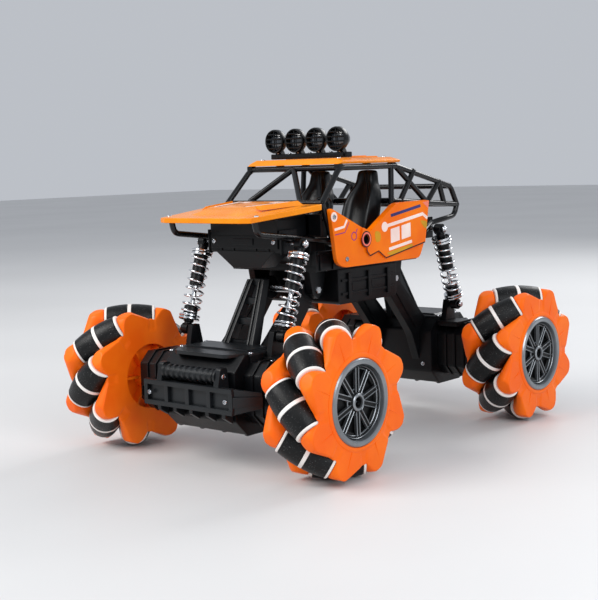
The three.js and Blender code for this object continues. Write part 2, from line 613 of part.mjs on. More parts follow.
const car = new THREE.Group();
for (const corner of WHEELS) {
  car.add(buildWheel(corner));
  car.add(buildShock(corner));
}
car.add(
  named('axle_front_housing', axleGeometry(-1), blackPlastic),
  named('axle_rear_housing', axleGeometry(1), blackPlastic),
  named('front_bumper', bumperGeometry(), blackPlastic),
  named('chassis_frame', chassisGeometry(), blackPlastic),
  named('battery_box', batteryGeometry(), blackPlastic),
  named('hood', hoodGeometry(), orangePaint),
  named('side_panel_left', sidePanelGeometry(1), orangePaint),
  named('side_panel_right', sidePanelGeometry(-1), orangePaint),
  named('roof_panel', roofGeometry(), orangePaint),
  named('roll_cage', cageGeometry(), tubeBlack),
  named('cockpit', cockpitGeometry(), seatBlack),
  named('light_bar', lightBarGeometry(), blackPlastic),
);

export default car;
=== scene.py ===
"""Looks of a remote-controlled stunt car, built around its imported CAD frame.

The helpers work in millimetres and scale to metres when a piece is made.
The car's front faces -Y and its left is +X.
"""
import json
import math

import bmesh
import bpy
from mathutils import Matrix, Vector


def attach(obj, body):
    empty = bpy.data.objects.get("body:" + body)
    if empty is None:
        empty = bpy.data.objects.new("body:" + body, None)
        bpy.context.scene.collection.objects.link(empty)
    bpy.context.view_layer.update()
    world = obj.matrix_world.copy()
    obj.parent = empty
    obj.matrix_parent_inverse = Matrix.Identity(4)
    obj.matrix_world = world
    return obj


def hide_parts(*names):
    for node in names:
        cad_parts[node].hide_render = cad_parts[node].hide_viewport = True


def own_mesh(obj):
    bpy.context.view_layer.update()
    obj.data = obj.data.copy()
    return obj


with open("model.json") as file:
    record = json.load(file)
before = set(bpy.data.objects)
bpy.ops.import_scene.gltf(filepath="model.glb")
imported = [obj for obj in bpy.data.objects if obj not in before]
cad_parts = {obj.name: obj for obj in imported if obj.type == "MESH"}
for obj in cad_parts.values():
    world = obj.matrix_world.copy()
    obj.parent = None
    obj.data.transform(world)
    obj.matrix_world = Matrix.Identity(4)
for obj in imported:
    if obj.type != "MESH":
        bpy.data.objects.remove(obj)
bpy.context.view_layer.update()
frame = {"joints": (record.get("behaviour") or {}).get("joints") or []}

MM = 0.001
HALF_TURN = Matrix.Rotation(math.pi, 4, "Z")
CORNERS = (("fl", 1, -1), ("fr", -1, -1), ("rl", 1, 1), ("rr", -1, 1))  # name, side, end
SIDES = (1, -1)  # the car's left and right

# ---- Materials -----------------------------------------------------------------------------------
COAT_ROUGHNESS = 0.12
GRAIN_HEIGHT = 0.1 * MM
SPECKLE_SCALE, SPECKLE_START, SPECKLE_FULL = 1600, 0.66, 0.72


def rgb(code):
    """Linear colour of a hex sRGB code."""
    parts = [int(code[i : i + 2], 16) / 255 for i in (0, 2, 4)]
    return tuple(c / 12.92 if c <= 0.04045 else ((c + 0.055) / 1.055) ** 2.4 for c in parts)


def noise(tree, coords, scale, detail=4.0):
    """Noise over the object's own coordinates, as a factor."""
    node = tree.nodes.new("ShaderNodeTexNoise")
    node.inputs["Scale"].default_value = scale
    node.inputs["Detail"].default_value = detail
    tree.links.new(coords.outputs["Object"], node.inputs["Vector"])
    return node.outputs["Fac"]


def ramp(tree, source, stops):
    """Colour ramp over a factor, from (position, colour) stops."""
    node = tree.nodes.new("ShaderNodeValToRGB")
    elements = node.color_ramp.elements
    elements[0].position, elements[0].color = stops[0][0], (*stops[0][1], 1)
    elements[1].position, elements[1].color = stops[-1][0], (*stops[-1][1], 1)
    for position, colour in stops[1:-1]:
        elements.new(position).color = (*colour, 1)
    tree.links.new(source, node.inputs["Fac"])
    return node.outputs["Color"]


def finish(name, light, dark, rough, metallic=0.0, patch=45, grain=0.0, grain_mm=0.4, coat=0.0,
           specular=0.5, speckle=None):
    """Moulded or painted finish: colour and roughness drift, and a fine grain lifts the surface."""
    material = bpy.data.materials.new(name)
    material.use_nodes = True
    tree = material.node_tree
    shader = tree.nodes["Principled BSDF"]
    coords = tree.nodes.new("ShaderNodeTexCoord")
    broad = noise(tree, coords, patch)
    colour = ramp(tree, broad, ((0.35, rgb(dark)), (0.65, rgb(light))))
    if speckle:
        dots = noise(tree, coords, SPECKLE_SCALE, 2.0)
        mask = ramp(tree, dots, ((SPECKLE_START, (0, 0, 0)), (SPECKLE_FULL, (1, 1, 1))))
        mix = tree.nodes.new("ShaderNodeMix")
        mix.data_type = "RGBA"
        tree.links.new(mask, mix.inputs["Factor"])
        tree.links.new(colour, mix.inputs["A"])
        mix.inputs["B"].default_value = (*rgb(speckle), 1)
        colour = mix.outputs["Result"]
    tree.links.new(colour, shader.inputs["Base Color"])
    spread = tree.nodes.new("ShaderNodeMapRange")
    spread.inputs["To Min"].default_value = rough[0]
    spread.inputs["To Max"].default_value = rough[1]
    tree.links.new(noise(tree, coords, patch * 4), spread.inputs["Value"])
    tree.links.new(spread.outputs["Result"], shader.inputs["Roughness"])
    shader.inputs["Metallic"].default_value = metallic
    shader.inputs["Coat Weight"].default_value = coat
    shader.inputs["Coat Roughness"].default_value = COAT_ROUGHNESS
    shader.inputs["Specular IOR Level"].default_value = specular
    if grain:
        bump = tree.nodes.new("ShaderNodeBump")
        bump.inputs["Strength"].default_value = grain
        bump.inputs["Distance"].default_value = GRAIN_HEIGHT
        tree.links.new(noise(tree, coords, 1 / (grain_mm * MM), 3.0), bump.inputs["Height"])
        tree.links.new(bump.outputs["Normal"], shader.inputs["Normal"])
    return material


ORANGE_PLASTIC = finish("orange_plastic", "fe7410", "f8640a", (0.36, 0.48), grain=0.12, specular=0.2)
ORANGE_PAINT = finish("orange_paint", "f87a04", "f06a02", (0.28, 0.38), coat=0.04, grain=0.05,
                      specular=0.15)
# Lighter, yellower copy of the orange paint for the up-facing hood and roof: painted light, where the tops
# catch more of the lamps.
TOP_LIT_ORANGE_PAINT = finish("top_lit_orange_paint", "f69208", "ee8404", (0.22, 0.32), coat=0.12, grain=0.05, specular=0.25)
RUBBER = finish("roller_rubber", "0b0c0d", "050607", (0.30, 0.46), grain=0.9, grain_mm=0.35, specular=0.28,
                speckle="6a6b6c")
WHITE = finish("roller_white", "f4f0ec", "e6e0da", (0.38, 0.5), grain=0.08)
RIM = finish("rim_grey", "989ca0", "7c8084", (0.24, 0.34), metallic=0.85, grain=0.10)
RIM_DARK = finish("rim_dark", "0e0f10", "070809", (0.3, 0.42), grain=0.12, specular=0.2)
BLACK = finish("black_plastic", "0b0d10", "060709", (0.28, 0.42), grain=0.30, grain_mm=0.5, specular=0.22)
# Dark grey plastic; on the axle links this lighter tone is painted sheen, standing in for the highlights
# along their glossy black rails.
DARK_GREY_AND_LINK_SHEEN = finish("dark_grey_plastic_and_link_sheen", "1a1d20", "101214", (0.28, 0.40), grain=0.28, grain_mm=0.5,
                  specular=0.3)
TUBE = finish("cage_tube", "0c0d0f", "070809", (0.20, 0.30), grain=0.10, coat=0.15, specular=0.3)
SEAT = finish("seat_plastic", "0c0f11", "06080a", (0.24, 0.36), grain=0.35, grain_mm=0.6, specular=0.35)
LAMP = finish("lamp_plastic", "0a0b0d", "060708", (0.22, 0.32), grain=0.10, coat=0.1, specular=0.25)
LENS = finish("lamp_lens", "3a4048", "20252b", (0.08, 0.16), coat=0.6, specular=0.8)
CHROME = finish("chrome", "dfe1e4", "c8cbcf", (0.06, 0.14), metallic=1.0)
STEEL = finish("steel_screw", "c9cbcf", "a9acb1", (0.16, 0.28), metallic=1.0)
DECAL_COLOURS = (("white", "fbe6dc", "f4d6cc"), ("navy", "3a3572", "2c2860"), ("purple", "a0337e", "842a78"),
                 ("lime", "d6980a", "b88a04"), ("dark", "2a0d08", "1c0805"), ("pink", "f58a70", "ea6f62"))
DECALS = {key: finish(f"decal_{key}", light, dark, (0.34, 0.44), specular=0.3)
          for key, light, dark in DECAL_COLOURS}

# ---- Geometry helpers ----------------------------------------------------------------------------


def turns(count):
    """Angles that divide a full turn evenly."""
    return [2 * math.pi * k / count for k in range(count)]


def span(side, near, far):
    """Low and high x of a stretch given as distances from the car's middle."""
    return sorted((side * near, side * far))


def paired(points):
    """Each point, whose first value is its distance from the car's middle, on the right and on the left."""
    return [(side * x, *rest) for x, *rest in points for side in (-1, 1)]


def symmetric(half, middle):
    """An outline from right to left: the mirror image of a half, a middle point, and the half backwards."""
    return [(-x, other) for x, other in half] + [middle] + half[::-1]


def flat(outline):
    """An outline's pairs as points that rounded() takes."""
    return [(a, b, 0) for a, b in outline]


def ball(radius, steps, centre=0.0, swell=1.0):
    """A ball's profile for the lathe. Swell makes it fatter across than along the axis."""
    angles = [k * math.pi / steps for k in range(1, steps)]
    belly = [(radius * swell * math.sin(a), centre - radius * math.cos(a)) for a in angles]
    return [(0, centre - radius), *belly, (0, centre + radius)]


def loft(part, rings):
    """A skin over rings of equal length, closed at both ends."""
    for first, second in zip(rings, rings[1:]):
        for k in range(len(first)):
            m = (k + 1) % len(first)
            part.faces.new((first[k], first[m], second[m], second[k]))
    part.faces.new(rings[0])
    part.faces.new(rings[-1])


def rounded(points, radius, steps=4, closed=False):
    """The same line with each corner turned into a short curve."""
    points = [Vector(p) for p in points]
    count = len(points)
    line = []
    for i, corner in enumerate(points):
        if not closed and i in (0, count - 1):
            line.append(corner)
            continue
        before, after = points[i - 1] - corner, points[(i + 1) % count] - corner
        start = corner + before.normalized() * min(radius, before.length * 0.45)
        stop = corner + after.normalized() * min(radius, after.length * 0.45)
        for step in range(steps + 1):
            t = step / steps
            line.append(start * (1 - t) ** 2 + corner * 2 * t * (1 - t) + stop * t * t)
    return line


def soften(part, width, segments=2, angle=25):
    """Rounds the sharp edges of a part."""
    sharp = [e for e in part.edges if e.is_manifold and e.calc_face_angle(0) > math.radians(angle)]
    if width and sharp:
        bmesh.ops.bevel(part, geom=sharp, offset=width, segments=segments, profile=0.7, affect="EDGES",
                        clamp_overlap=True)


class Shape:
    """Closed solids in millimetres that become one piece."""

    def __init__(self):
        self.solids = bmesh.new()
        self.place = Matrix.Identity(4)

    def take(self, part):
        bmesh.ops.recalc_face_normals(part, faces=part.faces)
        mesh = bpy.data.meshes.new("part")
        part.to_mesh(mesh)
        part.free()
        return self.take_mesh(mesh, self.place)

    def take_mesh(self, mesh, matrix):
        mesh.transform(matrix)
        self.solids.from_mesh(mesh)
        bpy.data.meshes.remove(mesh)
        return self

    def hull(self, points, bevel=0.5, segments=2):
        """A convex solid around points."""
        part = bmesh.new()
        for point in points:
            part.verts.new(point)
        made = bmesh.ops.convex_hull(part, input=part.verts)
        loose = {v for v in made["geom_unused"] + made["geom_interior"]
                 if isinstance(v, bmesh.types.BMVert)}
        bmesh.ops.delete(part, geom=list(loose), context="VERTS")
        bmesh.ops.dissolve_limit(part, angle_limit=math.radians(2), verts=part.verts, edges=part.edges)
        soften(part, bevel, segments)
        return self.take(part)

    def box(self, x0, x1, y0, y1, z0, z1, bevel=0.5, segments=2):
        return self.hull([(x, y, z) for x in (x0, x1) for y in (y0, y1) for z in (z0, z1)], bevel, segments)

    def beam(self, x0, x1, outline, bevel=0.5, segments=2):
        """A convex outline of (y, z) points with the same shape from x0 to x1."""
        return self.hull([(x, y, z) for x in (x0, x1) for y, z in outline], bevel, segments)

    def plate(self, outline, low, high, axis="x", bevel=0.4, segments=2):
        """A flat outline given in the two other axes, with thickness along X or Z."""
        order = {"x": lambda a, b, depth: (depth, a, b), "z": lambda a, b, depth: (a, b, depth)}[axis]
        part = bmesh.new()
        rings = [[part.verts.new(order(p[0], p[1], depth)) for p in outline] for depth in (low, high)]
        part.faces.new(rings[0])
        part.faces.new(list(reversed(rings[1])))
        for i in range(len(outline)):
            j = (i + 1) % len(outline)
            part.faces.new((rings[0][j], rings[0][i], rings[1][i], rings[1][j]))
        bmesh.ops.recalc_face_normals(part, faces=part.faces)
        soften(part, bevel, segments, 40)
        return self.take(part)

    def tube(self, points, radius, sides=14, bend=4.0, closed=False):
        """A round bar along a line with rounded bends."""
        line = rounded(points, bend, 5, closed) if bend else [Vector(p) for p in points]
        count = len(line)
        part = bmesh.new()
        rings = []
        level = None
        for i, point in enumerate(line):
            ahead = line[(i + 1) % count] if closed or i < count - 1 else point
            behind = line[i - 1] if closed or i > 0 else point
            along = (ahead - behind).normalized()
            if level is None:
                level = along.orthogonal().normalized()
            level = (level - along * level.dot(along)).normalized()
            other = along.cross(level)
            rings.append([part.verts.new(point + (level * math.cos(t) + other * math.sin(t)) * radius)
                          for t in turns(sides)])
        for i in range(count if closed else count - 1):
            first, second = rings[i], rings[(i + 1) % count]
            shift = 0
            if i == count - 1:
                shift = min(range(sides), key=lambda s: (first[0].co - second[s].co).length)
            for k in range(sides):
                m = (k + 1) % sides
                part.faces.new((first[k], first[m], second[(m + shift) % sides],
                                second[(k + shift) % sides]))
        if not closed:
            part.faces.new(rings[0])
            part.faces.new(list(reversed(rings[-1])))
        return self.take(part)

    def lathe(self, profile, origin=(0, 0, 0), axis="x", sides=40, ring=False):
        """A turned solid from (radius, distance) pairs. A ring's profile closes on itself."""
        directions = {"x": ((0, 1, 0), (0, 0, 1), (1, 0, 0)), "y": ((0, 0, 1), (1, 0, 0), (0, 1, 0)),
                      "z": ((1, 0, 0), (0, 1, 0), (0, 0, 1))}
        level, other, along = (Vector(v) for v in directions[axis])
        origin = Vector(origin)
        part = bmesh.new()
        rings = []
        for radius, distance in profile:
            centre = origin + along * distance
            if radius == 0:
                rings.append([part.verts.new(centre)])
                continue
            rings.append([part.verts.new(centre + (level * math.cos(t) + other * math.sin(t)) * radius)
                          for t in turns(sides)])
        pairs = list(zip(rings, rings[1:])) + ([(rings[-1], rings[0])] if ring else [])
        for first, second in pairs:
            for k in range(sides):
                m = (k + 1) % sides
                corners = [first[k % len(first)], first[m % len(first)], second[m % len(second)],
                           second[k % len(second)]]
                corners = list(dict.fromkeys(corners))
                if len(corners) > 2:
                    part.faces.new(corners)
        if not ring:
            for end in (rings[0], rings[-1]):
                if len(end) > 1:
                    part.faces.new(end)
        return self.take(part)

    def cylinder(self, radius, start, stop, origin=(0, 0, 0), axis="x", sides=40):
        """A solid round bar between two distances along an axis."""
        return self.lathe([(0, start), (radius, start), (radius, stop), (0, stop)], origin, axis, sides)

    def screw(self, at, direction, radius=1.5):
        """A cross-head screw head that stands on a surface."""
        turn = Vector((0, 0, 1)).rotation_difference(Vector(direction)).to_matrix().to_4x4()
        size = Matrix.Diagonal((radius, radius, radius, 1))
        return self.take_mesh(SCREW.copy(), self.place @ Matrix.Translation(at) @ turn @ size)

    def mirrored(self):
        """Adds the same solids on the car's other side."""
        mesh = bpy.data.meshes.new("half")
        self.solids.to_mesh(mesh)
        mesh.transform(Matrix.Diagonal((-1, 1, 1, 1)))
        mesh.flip_normals()
        return self.take_mesh(mesh, Matrix.Identity(4))

    def mesh(self, name, angle=32):
        """The finished mesh in metres, smooth except across sharp edges."""
        mesh = bpy.data.meshes.new(name)
        self.solids.to_mesh(mesh)
        self.solids.free()
        mesh.transform(Matrix.Scale(MM, 4))
        return smoothed(mesh, angle)


def smoothed(mesh, angle=32):
    """The same mesh, shaded smooth except across edges sharper than an angle."""
    mesh.shade_smooth()
    mesh.set_sharp_from_angle(angle=math.radians(angle))
    return mesh


def piece(name, mesh, material, body, replaces=(), matrix=None, weighted=True):
    """Puts a mesh in the scene as a piece that rides on a body."""
    obj = bpy.data.objects.new(name, mesh)
    bpy.context.scene.collection.objects.link(obj)
    mesh.materials.clear()
    mesh.materials.append(material)
    if matrix is not None:
        obj.matrix_world = matrix
    if weighted:
        obj.modifiers.new("normals", "WEIGHTED_NORMAL").keep_sharp = True
    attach(obj, body)
    if replaces:
        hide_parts(*replaces)
    return obj


def chassis_piece(name, shape, material, replaces=(), angle=32, weighted=True):
    """A finished shape as a piece of the chassis."""
    return piece(name, shape.mesh(name, angle), material, "chassis", replaces, weighted=weighted)


def applied(mesh, *steps):
    """The mesh after modifiers, each given as (type, settings)."""
    obj = bpy.data.objects.new("scratch", mesh)
    bpy.context.scene.collection.objects.link(obj)
    for kind, settings in steps:
        modifier = obj.modifiers.new(kind, kind)
        for key, value in settings.items():
            setattr(modifier, key, value)
    bpy.context.view_layer.update()
    result = bpy.data.meshes.new_from_object(obj.evaluated_get(bpy.context.evaluated_depsgraph_get()))
    bpy.data.objects.remove(obj)
    return result


def carved(mesh, cutters, operation="DIFFERENCE"):
    """The mesh after a boolean with each cutter mesh in turn."""
    for cutter in cutters:
        tool = bpy.data.objects.new("tool", cutter)
        bpy.context.scene.collection.objects.link(tool)
        mesh = applied(mesh, ("BOOLEAN", {"operation": operation, "object": tool, "solver": "MANIFOLD"}))
        bpy.data.objects.remove(tool)
    return mesh


def screw_head():
    """Cross-head screw of radius 1 on z = 0, facing +Z."""
    head = Shape().lathe([(0, -0.3), (0.92, -0.3), (1, -0.1), (1, 0.12), (0.86, 0.36), (0.5, 0.5),
                          (0, 0.52)],
                         axis="z", sides=28)
    head_mesh = bpy.data.meshes.new("head")
    head.solids.to_mesh(head_mesh)
    arms = []
    for long, short in ((0.62, 0.15), (0.15, 0.62)):
        arm = Shape().box(-long, long, -short, short, 0.12, 1, 0)
        arm_mesh = bpy.data.meshes.new("arm")
        arm.solids.to_mesh(arm_mesh)
        arms.append(arm_mesh)
    return carved(head_mesh, arms)


SCREW = screw_head()

# ---- Wheels --------------------------------------------------------------------------------------
WHEEL_RADIUS, WHEEL_HALF_WIDTH = 44, 17.5
HALF_TRACK, HALF_WHEELBASE = 82, 97
ROLLERS = 8
ROLLER_AXIS_RADIUS, ROLLER_HALF_LENGTH = 34, 15.6
HUB_CORE_RADIUS, HUB_TIP_RADIUS, WEB_RADIUS = 23, 43, 35.5
# a lobe's sections, as (radius, distance past the roller's end)
LOBE_RINGS = ((7.3, 0.6), (7.5, 3.0), (7.3, 5.4), (6.7, 7.4), (5.6, 9.0), (3.8, 10.2))
LOBE_ROOTS = ((0, 0.24), (9, 0.36))  # depth in from the face, half of the arc on the core
LOBE_SIDES = 28
HEEL_ANGLE = 0.33  # how far round from a lobe its flanks meet the web
HEEL_DEPTHS = (0.4, 3.2)  # in from the face
VOXEL = 0.5 * MM
BEARING_GAP, SPACE_TAPER = 0.5, 0.6  # air around a roller, and how much of it is lost at the ends
SPOKES = 5  # pairs of spokes in a rim cap


def roller_frame(hand, index):
    """Out from the wheel's axis, along the roller, and its middle, for a wheel on the car's left."""
    angle = 2 * math.pi * index / ROLLERS
    outward = Vector((0, -math.sin(angle), math.cos(angle)))
    onward = Vector((0, -math.cos(angle), -math.sin(angle)))
    along = (Vector((1, 0, 0)) + onward * hand).normalized()
    return outward, along, outward * ROLLER_AXIS_RADIUS


def roller_radius(distance):
    """Radius at a distance from a roller's middle, so that all rollers together touch the wheel's circle."""
    return WHEEL_RADIUS - math.hypot(ROLLER_AXIS_RADIUS, distance * math.sqrt(0.5))


def axis_matrix(origin, along):
    """Lays local +Z along a direction."""
    return Matrix.Translation(origin) @ Vector((0, 0, 1)).rotation_difference(along).to_matrix().to_4x4()


def add_lobe(shape, hand, index, end):
    """One lobe of a hub flange, from a roller's end out to the wheel's face."""
    outward, along, centre = roller_frame(hand, index)
    across = along.cross(outward)
    face = end * WHEEL_HALF_WIDTH
    corners = []
    for radius, distance in LOBE_RINGS:
        for turn in turns(LOBE_SIDES):
            corners.append(centre + outward * (radius * math.cos(turn)) + across * (radius * math.sin(turn))
                           + along * (end * (ROLLER_HALF_LENGTH + distance)))
    lobe_angle = 2 * math.pi * index / ROLLERS + hand * end * math.atan2(WHEEL_HALF_WIDTH,
                                                                         ROLLER_AXIS_RADIUS)
    for depth, half_angle in LOBE_ROOTS:
        for angle in (lobe_angle - half_angle, lobe_angle + half_angle):
            corners.append(Vector((face - end * depth, -math.sin(angle) * HUB_CORE_RADIUS,
                                   math.cos(angle) * HUB_CORE_RADIUS)))
    for heel in (lobe_angle - HEEL_ANGLE, lobe_angle + HEEL_ANGLE):
        for depth in HEEL_DEPTHS:
            corners.append(Vector((face - end * depth, -math.sin(heel) * WEB_RADIUS,
                                   math.cos(heel) * WEB_RADIUS)))
    shape.hull(corners, 0)


def hub_mesh(hand):
    """The orange moulding of a left-hand wheel about its own centre."""
    half = WHEEL_HALF_WIDTH
    blank = Shape()
    blank.cylinder(HUB_CORE_RADIUS, -half, half, sides=72)
    for end in (1, -1):
        blank.lathe([(0, end * 13), (WEB_RADIUS - 2, end * 13.2), (WEB_RADIUS, end * 14.4),
                     (WEB_RADIUS, end * 16.9),
                     (30, end * 16.9), (27.4, end * half), (0, end * half)], sides=72)
        for index in range(ROLLERS):
            add_lobe(blank, hand, index, end)
    mesh = applied(blank.mesh("hub_blank"), ("REMESH", {"mode": "VOXEL", "voxel_size": VOXEL}))
    tip = Shape().cylinder(HUB_TIP_RADIUS, -half, half, sides=96)
    mesh = applied(
        carved(mesh, [tip.mesh("tip")], "INTERSECT"),
        ("REMESH", {"mode": "VOXEL", "voxel_size": VOXEL}),
        ("SMOOTH", {"factor": 0.5, "iterations": 5}),
    )
    cutters = []
    for index in range(ROLLERS):
        _, along, centre = roller_frame(hand, index)
        space = Shape()
        space.place = axis_matrix(centre, along)
        reach = ROLLER_HALF_LENGTH + 0.3
        steps = [-1, -0.93, -0.7, -0.5, -0.25, 0, 0.25, 0.5, 0.7, 0.93, 1]
        profile = [(roller_radius(s * ROLLER_HALF_LENGTH) + BEARING_GAP - SPACE_TAPER * (abs(s) == 1),
                    s * reach)
                   for s in steps]
        space.lathe([(0, -reach), *profile, (0, reach)], axis="z", sides=48)
        cutters.append(space.mesh("space"))
    recess = Shape().cylinder(21.8, 11.5, 30, sides=72)
    dish = Shape().cylinder(20, -9.5, -30, sides=72)
    bore = Shape().cylinder(4.3, -1.5, -30, sides=32)
    mesh = carved(mesh, [*cutters, recess.mesh("recess"), dish.mesh("dish"), bore.mesh("bore")])
    detail = bmesh.new()
    detail.from_mesh(mesh)
    extra = Shape()
    extra.lathe([(24.4, 16.5), (27.2, 16.5), (27.0, 17.7), (26.2, 18.2), (24.9, 18.2), (24.4, 17.9)],
                sides=96, ring=True)
    for index in range(ROLLERS):
        angle = 2 * math.pi * index / ROLLERS + hand * math.atan2(WHEEL_HALF_WIDTH, ROLLER_AXIS_RADIUS)
        spoke = Vector((0, -math.sin(angle), math.cos(angle)))
        wide = Vector((0, -math.cos(angle), -math.sin(angle)))
        tip_at = Vector((15.2, 0, 0)) + spoke * 41.2 - wide * (hand * 1.4)
        root_at = Vector((16.6, 0, 0)) + spoke * 26.6
        extra.hull([at + wide * w + Vector((x, 0, 0)) for at, top in ((tip_at, 2.2), (root_at, 1.35))
                    for w, x in ((-0.7, 0), (0.7, 0), (-0.15, top), (0.15, top))], 0)
    extra.lathe([(4.4, -9.6), (7.6, -9.6), (7.4, -15.2), (6.9, -15.7), (4.9, -15.7), (4.4, -15.2)],
                sides=40, ring=True)
    for k in range(6):
        extra.place = Matrix.Rotation(k * math.pi / 3, 4, "X")
        extra.box(-14.5, -9.6, 7, 20.5, -0.8, 0.8, 0.3)
    detail.from_mesh(extra.mesh("hub_rings"))
    detail.to_mesh(mesh)
    detail.free()
    return smoothed(mesh, 38)


def roller_rubber_mesh():
    """Two rubber halves of a roller on +Z, with a groove for the white ring."""
    end = ROLLER_HALF_LENGTH
    shape = Shape()
    for side in SIDES:
        outer = [1.25, 1.6, 3, 5, 7, 9, 11, 13, 13.7, 14.05]
        profile = [(3, side * 1.25)]
        for i, distance in enumerate(outer):
            drop = 0.35 if i in (0, len(outer) - 1) else 0.0
            profile.append((roller_radius(distance) - drop, side * distance))
        profile.append((3, side * 14.05))
        shape.lathe(profile, axis="z", sides=48, ring=True)
    shape.cylinder(3.1, -end + 0.3, end - 0.3, axis="z", sides=24)
    return shape.mesh("roller_rubber")


def roller_white_mesh():
    """The white centre ring and end caps of a roller."""
    middle = roller_radius(0)
    shape = Shape()
    shape.lathe([(3.2, -1.1), (middle - 0.15, -1.1), (middle + 0.03, -0.9), (middle + 0.03, 0.9),
                 (middle - 0.15, 1.1), (3.2, 1.1)], axis="z", sides=48, ring=True)
    for side in SIDES:
        seat = roller_radius(14.6)
        shape.lathe([(0, side * 14.2), (seat + 0.05, side * 14.2), (seat + 0.12, side * 14.5),
                     (seat - 0.1, side * 15.2), (seat - 0.6, side * 15.6), (0, side * 15.6)], axis="z",
                    sides=48)
    return shape.mesh("roller_white")


def rim_cap_meshes():
    """The gunmetal cap on a left-hand wheel's face and the dark dish behind its spokes."""
    cap, dark = Shape(), Shape()
    cap.lathe([(21.4, 12.2), (21.4, 17.3), (24.0, 17.4), (24.2, 17.9), (23.6, 18.6), (22.2, 18.8),
               (20.9, 18.3), (20.3, 16.6), (19.9, 12.2)], sides=96, ring=True)
    for radius, x, wide in ((19.6, 16.2, 0.22), (18.4, 14.9, 0.3), (7.2, 14.6, 0.3)):
        cap.lathe([(radius - wide, x - 0.8), (radius + wide, x - 0.8), (radius + wide, x),
                   (radius, x + 0.25), (radius - wide, x)], sides=96, ring=True)
    dark.lathe([(17.2, 12.2), (20.1, 12.2), (20.1, 15.8), (19.2, 15.6), (18.2, 14.4)], sides=96, ring=True)
    dark.lathe([(0, 11.6), (5.6, 11.6), (5.9, 15.0), (5.0, 16.2), (2.6, 16.0), (2.4, 13.4), (0, 13.4)],
               sides=40)
    cap.lathe([(3.1, 15.6), (4.9, 15.6), (4.9, 16.5), (4.4, 16.9), (3.4, 16.8)], sides=40, ring=True)
    for k in range(SPOKES):
        for lean in (-1, 1):
            root = 2 * math.pi * k / SPOKES + lean * 0.2
            tip = 2 * math.pi * k / SPOKES + lean * 0.27
            start = Vector((0, math.cos(root) * 4.8, math.sin(root) * 4.8))
            stop = Vector((0, math.cos(tip) * 18.9, math.sin(tip) * 18.9))
            across = Vector((0, -(stop - start).z, (stop - start).y)).normalized()
            for shape, reach, low, high, inner in ((dark, 1.35, 12.2, 15.0, -1.35),
                                                   (cap, 1.5, 13.6, 15.6, 0.95),
                                                   (cap, -0.95, 13.6, 15.6, -1.5)):
                corners = [at + across * w + Vector((x, 0, 0)) for at in (start, stop)
                           for w in (reach, inner) for x in (low, high)]
                shape.hull(corners, 0.15, 1)
        angle = 2 * math.pi * (k + 0.5) / SPOKES
        foot = Vector((0, math.cos(angle) * 18.6, math.sin(angle) * 18.6))
        across = Vector((0, -math.sin(angle), math.cos(angle)))
        dark.hull([foot * reach + across * w + Vector((x, 0, 0)) for reach, wide in ((1, 4.2), (0.88, 3.4))
                   for w in (-wide, wide) for x in (12.2, 14.4)], 0.3, 1)
    dark.lathe([(0, 11.7), (21, 11.7), (21, 12.4), (14, 12.6), (6, 13), (0, 13)], sides=72)
    return cap.mesh("rim_cap"), dark.mesh("rim_dish")


RUBBER_MESH, WHITE_MESH = roller_rubber_mesh(), roller_white_mesh()
RIM_MESH, RIM_DISH_MESH = rim_cap_meshes()
HUB_MESHES = {hand: hub_mesh(hand) for hand in (1, -1)}
HUB_SCREW = Shape().screw((13.4, 0, 0), (1, 0, 0), 2.1).mesh("hub_screw")

for name, side, end in CORNERS:
    centre = Vector((side * HALF_TRACK, end * HALF_WHEELBASE, WHEEL_RADIUS)) * MM
    turn = Matrix.Identity(4) if side > 0 else HALF_TURN
    place = Matrix.Translation(centre) @ turn
    body = f"wheel_{name}"
    piece(f"hub_{name}", HUB_MESHES[1 if side * end < 0 else -1], ORANGE_PLASTIC, body,
          [f"wheel_{name}_hub"], place, weighted=False)
    piece(f"rim_cap_{name}", RIM_MESH, RIM, body, matrix=place)
    piece(f"rim_dish_{name}", RIM_DISH_MESH, RIM_DARK, body, matrix=place)
    piece(f"hub_screw_{name}", HUB_SCREW, STEEL, body, matrix=place)

for joint in frame["joints"]:
    body = joint["child"]
    if not body.startswith("roller_"):
        continue
    place = axis_matrix(Vector(joint["pos_m"]), Vector(joint["axis"]))
    piece(f"{body}_rubber", RUBBER_MESH, RUBBER, body, [body], place)
    piece(f"{body}_rings", WHITE_MESH, WHITE, body, matrix=place)

# ---- Shock absorbers -----------------------------------------------------------------------------
SHOCK_X, SHOCK_TOP, SHOCK_BOTTOM = 39, (71.5, 126.4), (89.3, 74.5)
SHOCK_LENGTH = math.dist(SHOCK_TOP, SHOCK_BOTTOM)
SPRING_TOP, SPRING_BOTTOM = 9.5, 46.0


